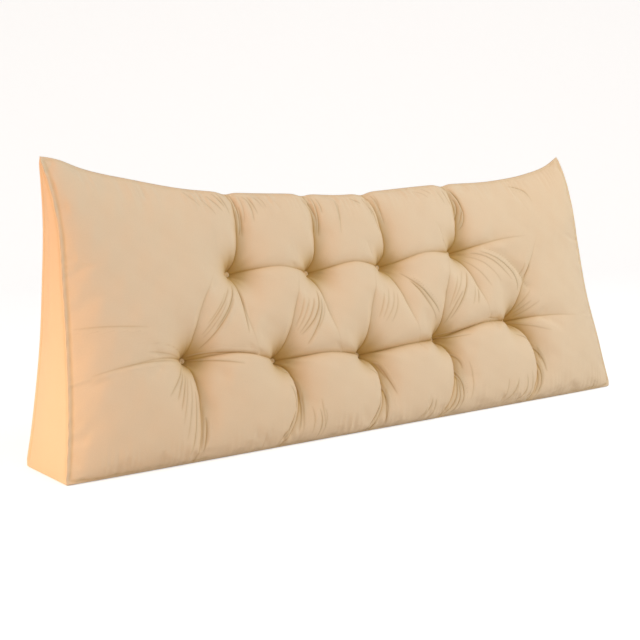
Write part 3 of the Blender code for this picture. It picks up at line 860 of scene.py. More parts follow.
def face_grid():
    """Places along X and heights of every grid point of the tufted face, as it would lie flat, and which
    of its columns and rows the plain panels share."""
    lines, column_cuts = column_levels()
    columns = finer(lines, column_cuts)
    heights = np.stack([level_heights(columns[:, k])[k] for k in range(columns.shape[1])], axis=-1)
    bottom, low, high, top = (float(heights[:, k].mean()) for k in (0, 2, 4, 6))
    x, z, row_cuts = [], [], []
    for level, length, first, last in (
        (0, low - bottom, SEAM_STEP, FOLD_STEP),
        (2, high - low, FOLD_STEP, FOLD_STEP),
        (4, top - high, FOLD_STEP, SEAM_STEP),
    ):
        shares = grid_shares(length, first, last)
        cuts = cut_counts(np.diff(shares) * length, FINER_UP)
        row_cuts.extend(cuts)
        t = finer(shares, cuts)
        if level < 4:
            t = t[:-1]
        for known, found in ((columns, x), (heights, z)):
            start, middle, end = (known[:, level + k, None] for k in range(3))
            found.append(bowed(start, middle, end, t))
    shared = np.ix_(*(np.concatenate([[0], np.cumsum(cuts)]) for cuts in (column_cuts, row_cuts)))
    return np.concatenate(x, axis=1), np.concatenate(z, axis=1), shared


def height_share(x, z):
    """Share of the way up the face, 0 at the bottom seam and 1 at the top seam."""
    return (z - bottom_height(x)) / (top_height(x) - bottom_height(x))


def tufted_face(x, z, settings):
    """Places of the front panel's points, and how deep each lies in a fold."""
    v = height_share(x, z)
    place_x, bulge = drawn_in(x, v)
    filled = crown(x / (LENGTH / 2), v)
    full = (FRONT_CROWN - SWELL_ROOM) * filled
    recess = (TUFT_RECESS - RECESS_TAPER * v) * filled**0.5
    deep = sunk(x, z)
    fine = pleats(x, z) * settings.pleat_share
    fine += puckers(x, z) * settings.pucker_depth
    fine += ripples(x, z) * settings.ripple_depth * (1 - deep)
    from_seam = np.minimum(z - bottom_height(x), top_height(x) - z)
    fine += gathers(x, from_seam, settings.gather_pitch) * settings.gather_depth
    relief = full - (full + recess) * deep + fine * np.clip(filled * FINE_RISE, 0, 1)
    flat = np.stack([place_x, APEX_BACK * v - bulge - DEPTH_CENTRE, z], axis=-1)
    return flat + relief[..., None] * FACE_NORMAL, deep


def plain_back(x, v):
    """Places of the back panel's points."""
    low_x, high_x = x[:, :1], x[:, -1:]
    at = low_x + (high_x - low_x) * v
    straight = BASE_DEPTH + (APEX_BACK - BASE_DEPTH) * v - DEPTH_CENTRE
    ear = drawn_in(at, np.ones_like(v))[1] * v**END_REACH
    filled = crown(at / (LENGTH / 2), v)
    height = bottom_height(at) + (top_height(at) - bottom_height(at)) * v
    y = straight - ear + BACK_CROWN * filled + BACK_RIPPLE * filled * ripples(at + LENGTH, height)
    return np.stack([drawn_in(at, v)[0], y, height], axis=-1)


def end_triangle(front_edge, back_edge, shares, side):
    """Places of a gusset's points, from its front seam to its back seam, bulged in the middle."""
    across = shares[:, None, None]
    places = front_edge * (1 - across) + back_edge * across
    up = np.linspace(0, 1, front_edge.shape[0])
    places[..., 0] += side * GUSSET_CROWN * np.sin(math.pi * shares)[:, None] * np.sin(math.pi * up)
    (fold_across, half_across), (fold_up, half_up) = GUSSET_FOLD_ACROSS, GUSSET_FOLD_UP
    fold = bump(shares - fold_across, half_across)[:, None] * bump(up - fold_up, half_up)
    places[..., 0] -= side * GUSSET_FOLD * fold
    return places


def flat_base(x, shares):
    """Places of the base's points: flat on the floor, rolled up to the seams around it."""
    y = BASE_DEPTH * shares
    from_edge = np.minimum(y, BASE_DEPTH - y)[None, :]
    from_edge = np.minimum(from_edge, (LENGTH / 2 - np.abs(x))[:, None])
    height = bottom_height(x)[:, None] * np.clip(1 - from_edge / FOOT_ROLL, 0, 1) ** 2
    return np.stack(np.broadcast_arrays(x[:, None], y[None, :] - DEPTH_CENTRE, height), axis=-1)


def raise_seams(places, edges, ridge):
    """Adds the sewn ridges: each edge is its distances, its distances from its corners, and a direction.
    Gives the new places, and marks the grooves beside the ridges from 0 to 1."""
    groove = np.zeros(places.shape[:2])
    for distance, from_corner, direction in edges:
        height = ridge * seam_profile(distance) * corner_fade(from_corner)
        places = places + height[..., None] * np.array(direction)
        beside_ridge = bump(distance - GROOVE_PLACE * RIDGE_HALF, RIDGE_HALF) * corner_fade(from_corner)
        groove = np.maximum(groove, beside_ridge * np.max(np.abs(direction), axis=-1))
    return places, groove


def run_length(places, axis):
    """Distance along a grid of places from its first line, measured on the cloth."""
    steps = np.linalg.norm(np.diff(places, axis=axis), axis=-1)
    start = np.zeros_like(np.take(steps, [0], axis=axis))
    return np.concatenate([start, np.cumsum(steps, axis=axis)], axis=axis)


def edge_distances(places):
    """Distances on the cloth from a panel's four sides: first and last column, first and last row."""
    across, up = run_length(places, 0), run_length(places, 1)
    return across, across[-1:] - across, up, up[:, -1:] - up


def raise_long_seams(places, facing, ridge):
    """The seams around the front panel, which faces -1 along Y, or around the back, which faces 1."""
    from_left, from_right, from_bottom, from_top = edge_distances(places)
    ends, rows = np.minimum(from_left, from_right), np.minimum(from_bottom, from_top)
    slant = math.sqrt(0.5)
    edges = (
        (from_left, rows, (-slant, facing * slant, 0)),
        (from_right, rows, (slant, facing * slant, 0)),
        (from_bottom, ends, (0, facing, 0)),
        (from_top, ends, (0, 0, TOP_RIDGE)),
    )
    return raise_seams(places, edges, ridge)


def lay_panel(bm, places, marks):
    """One panel of cloth: a grid moved to its places, marked, and with its threads laid out in metres.
    Gives the column and the row of each of its points."""
    columns, rows = places.shape[0] - 1, places.shape[1] - 1
    first_face = len(bm.faces)
    verts = bmesh.ops.create_grid(bm, x_segments=columns, y_segments=rows, size=1.0)["verts"]
    flat = np.array([vert.co[:2] for vert in verts])
    i = ((flat[:, 0] + 1) / 2 * columns).round().astype(int)
    j = ((flat[:, 1] + 1) / 2 * rows).round().astype(int)
    threads = np.stack([run_length(places, 0), run_length(places, 1)], axis=-1)[i, j]
    for vert, place in zip(verts, places[i, j]):
        vert.co = place
    for name, values in marks.items():
        layer = bm.verts.layers.float[name]
        for vert, value in zip(verts, values[i, j]):
            vert[layer] = value
    weave_layer = bm.loops.layers.uv["threads"]
    bm.verts.index_update()
    first_vert = verts[0].index
    bm.faces.ensure_lookup_table()
    for face in bm.faces[first_face:]:
        for loop in face.loops:
            loop[weave_layer].uv = threads[loop.vert.index - first_vert]
    return i, j


def smooth_cut(lines, counts):
    """Lines cut like finer() cuts them, but along smooth curves."""
    at = cut_places(counts)
    low = np.minimum(at.astype(int), len(counts) - 1)
    slopes = np.gradient(lines, axis=0)
    return between(lines[low], lines[low + 1], slopes[low], slopes[low + 1], (at - low)[:, None, None])


def swell(front, deep, shared, settings):
    """How far the filling presses the front panel out: its shared columns and rows become a sheet of
    cloth, held at the seams and in the folds, and under pressure for a few frames."""
    flat = front[shared]
    held = np.clip(deep[shared] * settings.fold_hold, 0, 1)
    held[[0, -1]] = 1
    held[:, [0, -1]] = 1
    bm = bmesh.new()
    bm.loops.layers.uv.new("threads")
    i, j = lay_panel(bm, flat, {})
    sheet = add_piece("front_sheet", bm)
    pins = sheet.vertex_groups.new(name="held")
    for index, share in enumerate(held[i, j]):
        pins.add([index], float(share), "REPLACE")
    cloth = sheet.modifiers.new("filling", "CLOTH")
    cloth.settings.vertex_group_mass = pins.name
    cloth.settings.use_pressure = True
    cloth.settings.uniform_pressure_force = settings.filling_pressure
    cloth.settings.shrink_min = -settings.cloth_ease
    cloth.settings.effector_weights.gravity = 0
    cloth.collision_settings.use_collision = False
    cloth.point_cache.frame_end = SWELL_FRAMES
    scene = bpy.context.scene
    for count in range(1, SWELL_FRAMES + 1):
        scene.frame_set(count)
    pressed = sheet.evaluated_get(bpy.context.evaluated_depsgraph_get())
    moves = np.zeros_like(flat)
    moves[i, j] = np.array([vert.co for vert in pressed.data.vertices]) - flat[i, j]
    mesh = sheet.data
    bpy.data.objects.remove(sheet)
    bpy.data.meshes.remove(mesh)
    scene.frame_set(1)
    size = np.linalg.norm(moves, axis=-1, keepdims=True) + WELD
    moves *= SWELL_CAP * np.tanh(size / SWELL_CAP) / size
    moves[held == 1] = 0
    across, up = (np.diff(stops.ravel()) for stops in shared)
    return smooth_cut(smooth_cut(moves, across).swapaxes(0, 1), up).swapaxes(0, 1)


def rim_of(grid):
    """A grid's rim as one closed ring, each point once."""
    return np.concatenate([grid[:-1, 0], grid[-1, :-1], grid[:0:-1, -1], grid[0, :0:-1]])


def sew_rim(bm, rim, shared):
    """Cuts the plain panels' open rim as finely as the tufted face's, and moves it onto that."""
    stops = np.flatnonzero(shared)
    chord_places = KDTree(len(rim))
    for start, stop in zip(stops, [*stops[1:], len(rim)]):
        a, b = rim[start], rim[stop % len(rim)]
        for step in range(stop - start):
            chord_places.insert(a + (b - a) * step / (stop - start), start + step)
    chord_places.balance()

    def settle(verts):
        for vert in verts:
            vert.co = rim[chord_places.find(vert.co)[1]]

    settle([vert for vert in bm.verts if vert.is_boundary])
    for parts in (FINER_ACROSS, FINER_UP):
        wide = []
        for edge in bm.edges:
            if edge.is_boundary:
                first, second = (chord_places.find(vert.co)[1] for vert in edge.verts)
                if (second - first) % len(rim) in (parts, len(rim) - parts):
                    wide.append(edge)
        cut = bmesh.ops.subdivide_edges(bm, edges=wide, cuts=parts - 1)
        settle([part for part in cut["geom_inner"] if isinstance(part, bmesh.types.BMVert)])


def cover_mesh(settings):
    """The whole filled cover, sewn from its five panels into one closed skin."""
    x, z, shared = face_grid()
    v = height_share(x, z)
    front, deep = tufted_face(x, z, settings)
    front = front + swell(front, deep, shared, settings)
    back = plain_back(x[shared], v[shared])
    shares = grid_shares(BASE_DEPTH, SEAM_STEP, SEAM_STEP)
    base = flat_base(x[shared][:, 0], shares)
    left = end_triangle(front[shared][0], back[0], shares, -1)
    right = end_triangle(front[shared][-1], back[-1], shares, 1)

    ridge, slant = settings.seam_ridge, math.sqrt(0.5)
    front, front_groove = raise_long_seams(front, -1, ridge)
    panels = [raise_long_seams(back, 1, ridge)]
    from_left, from_right, from_front, from_back = edge_distances(base)
    ends = np.minimum(from_left, from_right)
    base_edges = ((from_front, ends, (0, -1, 0)), (from_back, ends, (0, 1, 0)))
    panels.append(raise_seams(base, base_edges, ridge))
    for places, side in ((left, -1), (right, 1)):
        from_front, from_back, from_bottom, from_top = edge_distances(places)
        rows = np.minimum(from_bottom, from_top)
        share = shares[:, None, None]
        edges = (
            (from_front, rows, (1 - share) * (side * slant, -slant, 0)),
            (from_back, rows, share * (side * slant, slant, 0)),
        )
        panels.append(raise_seams(places, edges, ridge))

    bm = bmesh.new()
    marks = {"fold": deep, "seam": front_groove, **pleat_marks(x, z), **crease_marks(x, z)}
    for name in marks:
        bm.verts.layers.float.new(name)
    bm.loops.layers.uv.new("threads")
    for places, groove in panels:
        lay_panel(bm, places, {"seam": groove})
    bmesh.ops.remove_doubles(bm, verts=list(bm.verts), dist=WELD)
    on_shared = np.zeros(x.shape, dtype=bool)
    on_shared[shared] = True
    sew_rim(bm, rim_of(front), rim_of(on_shared))
    lay_panel(bm, front, marks)
    bmesh.ops.remove_doubles(bm, verts=list(bm.verts), dist=WELD)
    bmesh.ops.recalc_face_normals(bm, faces=list(bm.faces))
    loose = sum(1 for edge in bm.edges if not edge.is_manifold)
    if loose:
        raise RuntimeError(f"The cover has {loose} open edges")
    return bm


def add_piece(name, bm):
    """A smooth mesh object for one finished piece."""
    mesh = bpy.data.meshes.new(name)
    bm.to_mesh(mesh)
    bm.free()
    mesh.shade_smooth()
    piece = bpy.data.objects.new(name, mesh)
    bpy.context.scene.collection.objects.link(piece)
    return piece


def new_group(name, inputs, outputs):
    """An empty shader group with its sockets, and its input and output nodes."""
    group = bpy.data.node_groups.new(name, "ShaderNodeTree")
    for label, kind, value in inputs:
        socket = group.interface.new_socket(label, in_out="INPUT", socket_type="NodeSocket" + kind)
        if value is not None:
            socket.default_value = value
    for label, kind in outputs:
        group.interface.new_socket(label, in_out="OUTPUT", socket_type="NodeSocket" + kind)
    return group, group.nodes.new("NodeGroupInput").outputs, group.nodes.new("NodeGroupOutput").inputs


def plug(tree, source, socket):
    """Links a socket, or sets a plain value on it."""
    if isinstance(source, bpy.types.NodeSocket):
        tree.links.new(source, socket)
    else:
        socket.default_value = source


def calc(tree, operation, a, b=0.0, c=0.0):
    """A Math node's result."""
    node = tree.nodes.new("ShaderNodeMath")
    node.operation = operation
    for source, socket in zip((a, b, c), node.inputs):
        plug(tree, source, socket)
    return node.outputs[0]


def blend_colours(tree, share, first, second):
    """A colour between two, by a share."""
    node = tree.nodes.new("ShaderNodeMix")
    node.data_type = "RGBA"
    plug(tree, share, node.inputs["Factor"])
    plug(tree, first, node.inputs["A"])
    plug(tree, second, node.inputs["B"])
    return node.outputs["Result"]


def noise(tree, place, scale, detail, roughness=0.5):
    """A noise pattern's value, centred on 0.5."""
    node = tree.nodes.new("ShaderNodeTexNoise")
    plug(tree, place, node.inputs["Vector"])
    plug(tree, scale, node.inputs["Scale"])
    node.inputs["Detail"].default_value = detail
    node.inputs["Roughness"].default_value = roughness
    return node.outputs["Fac"]


def spread(tree, value, low, high):
    """A value stretched from low..high to 0..1."""
    node = tree.nodes.new("ShaderNodeMapRange")
    node.interpolation_type = "SMOOTHSTEP"
    plug(tree, value, node.inputs["Value"])
    node.inputs["From Min"].default_value = low
    node.inputs["From Max"].default_value = high
    return node.outputs["Result"]


def weave_group():
    """Plain weave: threads that pass over and under each other, with thicker and thinner stretches."""
    group, given, made = new_group(
        "plain_weave",
        (("Threads", "Vector", None), ("Pitch", "Float", 0.0007), ("Nap", "Float", 0.5)),
        (("Height", "Float"), ("Tone", "Float")),
    )
    split = group.nodes.new("ShaderNodeSeparateXYZ")
    group.links.new(given["Threads"], split.inputs[0])
    turns = calc(group, "DIVIDE", math.pi, given["Pitch"])
    warp = calc(group, "SINE", calc(group, "MULTIPLY", split.outputs["X"], turns))
    weft = calc(group, "SINE", calc(group, "MULTIPLY", split.outputs["Y"], turns))
    over = calc(group, "MULTIPLY", warp, weft)
    slub = noise(group, given["Threads"], SLUB_SCALE, 2.0)
    fuzz = noise(group, given["Threads"], FUZZ_SCALE, 2.0, 0.7)
    woven = calc(group, "MULTIPLY_ADD", over, 0.5, 0.5)
    nap = calc(group, "MULTIPLY", calc(group, "ADD", fuzz, slub), given["Nap"])
    height = calc(group, "ADD", woven, nap)
    group.links.new(height, made["Height"])
    # Tone: painted light and shade that follow the over-and-under weave, and the slubs' own tone
    group.links.new(calc(group, "ADD", calc(group, "MULTIPLY", over, OVER_SHARE), slub), made["Tone"])
    return group


def tone_group():
    """Colour of brushed cloth: slow fading, small flecks, painted light that makes the cover's open crowns
    paler, and the threads' tone.
    """
    group, given, made = new_group(
        "brushed_tone",
        (
            ("Place", "Vector", None),
            ("Cloth", "Color", (0.7, 0.55, 0.4, 1.0)),
            ("Worn", "Color", (0.8, 0.65, 0.5, 1.0)),
            ("Wear", "Float", 0.0),
            ("Thread tone", "Float", 0.5),
        ),
        (("Colour", "Color"), ("Roughness", "Float")),
    )
    fading = spread(group, noise(group, given["Place"], FADE_SCALE, 3.0), 0.30, 0.70)
    flecks = spread(group, noise(group, given["Place"], FLECK_SCALE, 4.0, 0.6), 0.25, 0.80)
    paler = calc(group, "MULTIPLY", fading, FADE_SHARE)
    paler = calc(group, "ADD", paler, calc(group, "MULTIPLY", flecks, FLECK_SHARE))
    # painted light: a share given by the cover makes its open crowns paler
    paler = calc(group, "ADD", paler, given["Wear"])
    colour = blend_colours(group, paler, given["Cloth"], given["Worn"])
    shade = group.nodes.new("ShaderNodeHueSaturation")
    group.links.new(colour, shade.inputs["Color"])
    value = calc(group, "MULTIPLY_ADD", given["Thread tone"], THREAD_VALUE, 1.0)
    group.links.new(value, shade.inputs["Value"])
    group.links.new(shade.outputs["Color"], made["Colour"])
    glossier = calc(group, "MULTIPLY", flecks, FLECK_GLOSS)
    group.links.new(calc(group, "SUBTRACT", ROUGHEST, glossier), made["Roughness"])
    return group


def pleat_group():
    """Sharp line of a pleat, from the distance to it: relief in metres, and shares of the painted shade in
    its line and band and of the painted highlight on its lip.
    """
    group, given, made = new_group(
        "cloth_pleat",
        (("Distance", "Float", 1.0), ("Depth", "Float", 0.0)),
        (("Height", "Float"), ("Shade", "Float"), ("Band", "Float"), ("Lip", "Float")),
    )

    def round_bump(distance, half_width=LINE_HALF):
        spans = calc(group, "DIVIDE", distance, half_width)
        return calc(group, "EXPONENT", calc(group, "MULTIPLY", calc(group, "MULTIPLY", spans, spans), -1.0))

    groove = round_bump(given["Distance"])
    lip = round_bump(calc(group, "ADD", given["Distance"], LIP_PLACE * LINE_HALF))
    relief = calc(group, "SUBTRACT", calc(group, "MULTIPLY", lip, LIP_SHARE), groove)
    group.links.new(calc(group, "MULTIPLY", relief, given["Depth"]), made["Height"])
    group.links.new(calc(group, "MULTIPLY", groove, given["Depth"]), made["Shade"])
    group.links.new(calc(group, "MULTIPLY", lip, given["Depth"]), made["Lip"])
    band = round_bump(given["Distance"], BAND_SPANS * LINE_HALF)
    group.links.new(calc(group, "MULTIPLY", band, given["Depth"]), made["Band"])
    return group


def mark(tree, name):
    """A mark of the cover's cloth, read from its points."""
    node = tree.nodes.new("ShaderNodeAttribute")
    node.attribute_name = name
    return node.outputs["Fac"]


def group_node(tree, group, **values):
    """One use of a shader group, with its inputs by name."""
    node = tree.nodes.new("ShaderNodeGroup")
    node.node_tree = group
    for name, value in values.items():
        plug(tree, value, node.inputs[name.replace("_", " ")])
    return node.outputs


def line_sums(tree, pleat):
    """Relief of the sharp lines in creases and pleats, with the shares of their painted shade in line and
    band and of their painted highlight on the lip, summed over their layers.
    """
    sums = dict.fromkeys(("Height", "Shade", "Band", "Lip"), 0.0)
    for layer in ("crease", *(f"pleat_{count}" for count in range(1, PLEAT_LAYERS + 1))):
        line = group_node(tree, pleat, Distance=mark(tree, layer), Depth=mark(tree, layer + "_depth"))
        for part, so_far in sums.items():
            sums[part] = calc(tree, "ADD", line[part], so_far)
    return sums


def painted_light_and_shade(tree, cloth, fold, lines, settings):
    """The cloth's colour with painted shade in its folds, wells, seam grooves and pleats, and a painted
    highlight on the pleats' lips.
    """
    in_fold = calc(tree, "MULTIPLY", spread(tree, fold, *VALLEY_MARKS), settings.fold_shade)
    in_seam = calc(tree, "MULTIPLY", mark(tree, "seam"), settings.seam_shade)
    in_band = calc(tree, "MULTIPLY", lines["Band"], settings.band_shade)
    in_valley = calc(tree, "ADD", calc(tree, "ADD", in_fold, in_seam), in_band)
    in_well = calc(tree, "MULTIPLY", spread(tree, fold, *WELL_MARKS), settings.fold_shade)
    in_line = calc(tree, "MULTIPLY", lines["Shade"], settings.line_shade)
    on_lip = calc(tree, "MULTIPLY", lines["Lip"], settings.lip_shine)
    for share, most, colour in (
        (in_valley, 1.0, settings.valley_shade_colour),
        (in_well, 1.0, settings.well_shade_colour),
        (in_line, MOST_LINE, settings.line_shade_colour),
        (on_lip, MOST_LIP, settings.lip_highlight_colour),
    ):
        cloth = blend_colours(tree, calc(tree, "MINIMUM", share, most), cloth, (*colour, 1.0))
    return cloth


def cloth_material(name, settings, groups, colour, worn_and_lit, marked):
    """Brushed woven cloth. Marked cloth also has the sharp lines, painted light on its open crowns, painted
    shade in its folds and a painted highlight on its pleats' lips.
    """
    weave, tone, pleat = groups
    material = bpy.data.materials.new(name)
    material.use_nodes = True
    tree = material.node_tree
    surface = tree.nodes["Principled BSDF"]
    coordinates = tree.nodes.new("ShaderNodeTexCoord").outputs
    threads = group_node(tree, weave, Threads=coordinates["UV"], Pitch=settings.thread_pitch, Nap=NAP_SHARE)
    relief = tree.nodes.new("ShaderNodeBump")
    relief.inputs["Strength"].default_value = WEAVE_STRENGTH
    relief.inputs["Distance"].default_value = WEAVE_RELIEF
    tree.links.new(threads["Height"], relief.inputs["Height"])
    # Painted light: the open cloth between the folds is drawn paler
    painted_light = 0.0
    if marked:
        depth = mark(tree, "fold")
        open_cloth = calc(tree, "SUBTRACT", 1.0, spread(tree, depth, 0, OPEN_MARK))
        painted_light = calc(tree, "MULTIPLY", open_cloth, OPEN_LIGHT_SHARE)
    toned = group_node(
        tree, tone, Place=coordinates["Object"], Cloth=(*colour, 1.0), Worn=(*worn_and_lit, 1.0), Wear=painted_light,
        Thread_tone=threads["Tone"],
    )
    shown = toned["Colour"]
    if marked:
        lines = line_sums(tree, pleat)
        sharp = tree.nodes.new("ShaderNodeBump")
        sharp.inputs["Distance"].default_value = settings.line_relief
        tree.links.new(lines["Height"], sharp.inputs["Height"])
        tree.links.new(sharp.outputs["Normal"], relief.inputs["Normal"])
        shown = painted_light_and_shade(tree, shown, depth, lines, settings)
    tree.links.new(shown, surface.inputs["Base Color"])
    tree.links.new(toned["Roughness"], surface.inputs["Roughness"])
    tree.links.new(relief.outputs["Normal"], surface.inputs["Normal"])
    surface.inputs["Specular IOR Level"].default_value = 0.25
    surface.inputs["Sheen Weight"].default_value = settings.sheen
    surface.inputs["Sheen Roughness"].default_value = 0.45
    surface.inputs["Sheen Tint"].default_value = (1.0, 0.93, 0.84, 1.0)
    return material


def shared_groups():
    """The weave, tone and pleat groups, built once."""
    weave = bpy.data.node_groups.get("plain_weave") or weave_group()
    tone = bpy.data.node_groups.get("brushed_tone") or tone_group()
    pleat = bpy.data.node_groups.get("cloth_pleat") or pleat_group()
    return weave, tone, pleat


class PILLOW_OT_cover(bpy.types.Operator):
    """Sew the tufted front, the back, the base and both gussets into one filled cover"""

    bl_idname = "pillow.cover"
    bl_label = "Sew cover"

    def execute(self, context):
        settings = context.scene.pillow_cover
        cover = add_piece("cushion_cover", cover_mesh(settings))
        colour, worn_and_lit = settings.cloth_colour, settings.worn_and_lit_colour
        cloth = cloth_material("cover_cloth", settings, shared_groups(), colour, worn_and_lit, True)
        cover.data.materials.append(cloth)
        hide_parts("cushion_body")
        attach(cover, "root")
        return {"FINISHED"}


def button_mesh(settings, seat):
    """A cloth-covered button: a turned profile with small gathers under its rim, set on its seat."""
    bm = bmesh.new()
    bm.loops.layers.uv.new("threads")
    verts = []
    for radius, height in BUTTON_PROFILE:
        verts.append(bm.verts.new((radius * settings.radius, 0, height * settings.height)))
    edges = [bm.edges.new(pair) for pair in zip(verts, verts[1:])]
    bmesh.ops.spin(
        bm, geom=[*verts, *edges], cent=(0, 0, 0), axis=(0, 0, 1), angle=2 * math.pi, steps=BUTTON_STEPS,
        use_merge=True, use_duplicate=False,
    )
    bmesh.ops.remove_doubles(bm, verts=list(bm.verts), dist=WELD)
    bmesh.ops.recalc_face_normals(bm, faces=list(bm.faces))
    weave_layer = bm.loops.layers.uv["threads"]
    for face in bm.faces:
        for loop in face.loops:
            loop[weave_layer].uv = loop.vert.co.xy
    for vert in bm.verts:
        away = vert.co.xy.length / settings.radius
        turn = math.atan2(vert.co.y, vert.co.x)
        pinch = 1 - GATHERS_PINCH * max(0.0, away - GATHERS_FROM) * (1 + math.cos(BUTTON_GATHERS * turn))
        vert.co.x *= pinch
        vert.co.y *= pinch
    bmesh.ops.transform(bm, matrix=seat, verts=list(bm.verts))
    return bm


class PILLOW_OT_buttons(bpy.types.Operator):
    """Set a cloth-covered button in every tuft"""

    bl_idname = "pillow.buttons"
    bl_label = "Set buttons"

    def execute(self, context):
        settings, cover = context.scene.pillow_buttons, context.scene.pillow_cover
        colour = settings.colour
        cloth = cloth_material("button_cloth", cover, shared_groups(), colour, cover.worn_and_lit_colour, False)
        for name, _, _ in tufts():
            node = "tuft_button_" + name
            low, high = (Vector(corner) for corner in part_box(node))
            turned = Matrix.Rotation(math.pi / 2 - LEAN, 4, "X")
            seat = Matrix.Translation((low + high) / 2) @ turned
            seat @= Matrix.Translation((0, 0, -settings.height / 2))
            button = add_piece("button_" + name, button_mesh(settings, seat))
            button.data.materials.append(cloth)
            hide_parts(node)
            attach(button, "root")
        return {"FINISHED"}


def backdrop_mesh():
    """Floor and wall in one sweep: a profile swept along X."""
    bm = bmesh.new()
    verts = bmesh.ops.create_grid(bm, x_segments=1, y_segments=BACKDROP_STEPS + 2, size=1.0)["verts"]
    profile = [(BACKDROP_FRONT, 0.0)]
    for step in range(BACKDROP_STEPS + 1):
        turn = math.pi / 2 * step / BACKDROP_STEPS
        y = BACKDROP_REAR + BACKDROP_SWEEP * math.sin(turn)
        profile.append((y, BACKDROP_SWEEP * (1 - math.cos(turn))))
    profile.append((BACKDROP_REAR + BACKDROP_SWEEP, BACKDROP_HEIGHT))
    for vert in verts:
        row = round((vert.co.y + 1) / 2 * (BACKDROP_STEPS + 2))
        vert.co = (vert.co.x * BACKDROP_WIDTH / 2, *profile[row])
    turned = Matrix.Rotation(-CAMERA_YAW, 4, "Z")
    bmesh.ops.transform(bm, matrix=turned, verts=verts)
    return bm


def add_light(name, place, target, size, power, colour):
    """A soft square light that faces the target."""
    light = bpy.data.lights.new(name, "AREA")
    light.size = size
    light.energy = power
    light.color = colour
    lamp = bpy.data.objects.new(name, light)
    facing = (Vector(target) - Vector(place)).to_track_quat("-Z", "Y")
    lamp.matrix_world = Matrix.Translation(place) @ facing.to_matrix().to_4x4()
    bpy.context.scene.collection.objects.link(lamp)


def paper_material(settings):
    """Plain paper that the camera sees lit through from behind."""
    paper = bpy.data.materials.new("studio_paper")
    paper.use_nodes = True
    surface = paper.node_tree.nodes["Principled BSDF"]
    surface.inputs["Base Color"].default_value = (*settings.floor_colour, 1.0)
    surface.inputs["Roughness"].default_value = 0.9
    surface.inputs["Emission Color"].default_value = (1.0, 1.0, 1.0, 1.0)
    rays = paper.node_tree.nodes.new("ShaderNodeLightPath").outputs["Is Camera Ray"]
    glow = calc(paper.node_tree, "MULTIPLY", rays, settings.floor_glow)
    paper.node_tree.links.new(glow, surface.inputs["Emission Strength"])
    return paper


def room_world(settings):
    """Even light from all sides, warmer from the left."""
    world = bpy.data.worlds.new("studio_room")
    world.use_nodes = True
    room = world.node_tree
    sky = room.nodes["Background"]
    split = room.nodes.new("ShaderNodeSeparateXYZ")
    room.links.new(room.nodes.new("ShaderNodeTexCoord").outputs["Generated"], split.inputs[0])
    from_left = spread(room, calc(room, "MULTIPLY", split.outputs["X"], -1.0), *LEFT_SKY)
    tint = blend_colours(room, from_left, (1.0, 1.0, 1.0, 1.0), (*settings.left_sky, 1.0))
    room.links.new(tint, sky.inputs["Color"])
    sky.inputs["Strength"].default_value = settings.sky_strength
    return world


def photo_camera():
    """A camera that sees the pillow as the photograph does."""
    lens = bpy.data.cameras.new("photo_view")
    lens.lens = CAMERA_LENS
    lens.sensor_width = SENSOR
    camera = bpy.data.objects.new("photo_view", lens)
    turn = Matrix.Rotation(-CAMERA_YAW, 4, "Z") @ Matrix.Rotation(math.pi / 2 - CAMERA_PITCH, 4, "X")
    turn = turn @ Matrix.Rotation(CAMERA_ROLL, 4, "Z")
    camera.matrix_world = Matrix.Translation(CAMERA_PLACE) @ turn
    return camera


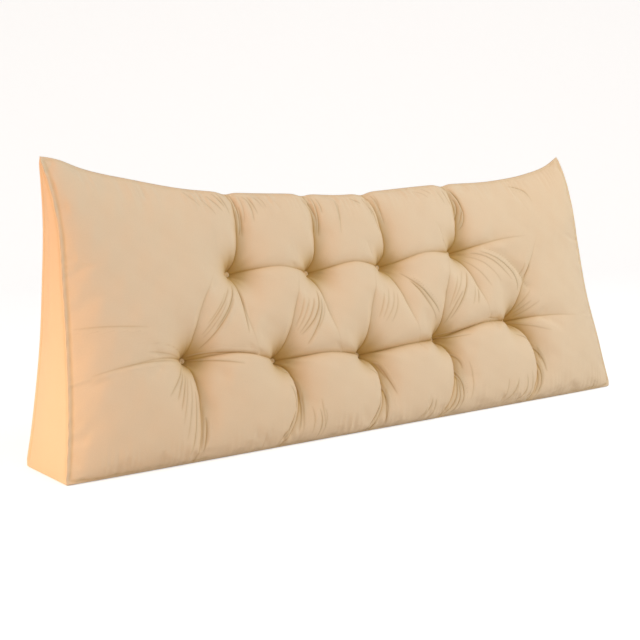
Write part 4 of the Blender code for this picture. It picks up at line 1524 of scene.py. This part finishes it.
class PILLOW_OT_stage(bpy.types.Operator):
    """Build the pale backdrop, the soft lights and the camera"""

    bl_idname = "pillow.stage"
    bl_label = "Set up studio"

    def execute(self, context):
        settings = context.scene.pillow_stage
        scene = context.scene
        backdrop = add_piece("studio_backdrop", backdrop_mesh())
        backdrop.data.materials.append(paper_material(settings))
        scene.world = room_world(settings)

        middle = (COVER_LOW + COVER_HIGH) / 2
        left_end = Vector((COVER_LOW.x, 0, middle.z))
        left_foot = Vector((COVER_LOW.x, 0, 0))
        # name, place, what it faces, size, power, colour
        for name, place, target, size, power, colour in (
            ("key_light", (1.3, -1.5, 1.9), middle, 1.3, settings.key_power, (1.0, 0.985, 0.96)),
            ("warm_light", (-2.1, -0.15, 1.0), left_end, 0.6, settings.warm_power, (1.0, 0.37, 0.08)),
            ("low_light", (-1.15, 0.0, 0.10), left_foot, 0.3, settings.low_power, (1.0, 0.84, 0.60)),
        ):
            add_light(name, place, target, size, power, colour)

        camera = photo_camera()
        scene.collection.objects.link(camera)
        scene.camera = camera
        scene.view_settings.view_transform = "Standard"
        return {"FINISHED"}


class PILLOW_PT_sidebar(bpy.types.Panel):
    """The pillow's pieces and their sizes and colours"""

    bl_idname = "PILLOW_PT_sidebar"
    bl_label = "Tufted wedge pillow"
    bl_space_type = "VIEW_3D"
    bl_region_type = "UI"
    bl_category = "Pillow"

    def draw(self, context):
        for heading, operator, settings in (
            ("Cover", "pillow.cover", context.scene.pillow_cover),
            ("Buttons", "pillow.buttons", context.scene.pillow_buttons),
            ("Studio", "pillow.stage", context.scene.pillow_stage),
        ):
            box = self.layout.box()
            box.label(text=heading)
            for name in settings.bl_rna.properties.keys():
                if name not in ("rna_type", "name"):
                    box.prop(settings, name)
            box.operator(operator)


CLASSES = (
    PillowCoverSettings,
    PillowButtonSettings,
    PillowStageSettings,
    PILLOW_OT_cover,
    PILLOW_OT_buttons,
    PILLOW_OT_stage,
    PILLOW_PT_sidebar,
)


def register():
    for each in CLASSES:
        bpy.utils.register_class(each)
    bpy.types.Scene.pillow_cover = bpy.props.PointerProperty(type=PillowCoverSettings)
    bpy.types.Scene.pillow_buttons = bpy.props.PointerProperty(type=PillowButtonSettings)
    bpy.types.Scene.pillow_stage = bpy.props.PointerProperty(type=PillowStageSettings)


def unregister():
    del bpy.types.Scene.pillow_stage
    del bpy.types.Scene.pillow_buttons
    del bpy.types.Scene.pillow_cover
    for each in reversed(CLASSES):
        bpy.utils.unregister_class(each)


def main():
    register()
    bpy.ops.pillow.stage()
    bpy.ops.pillow.cover()
    bpy.ops.pillow.buttons()
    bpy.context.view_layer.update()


if __name__ == "__main__":
    main()
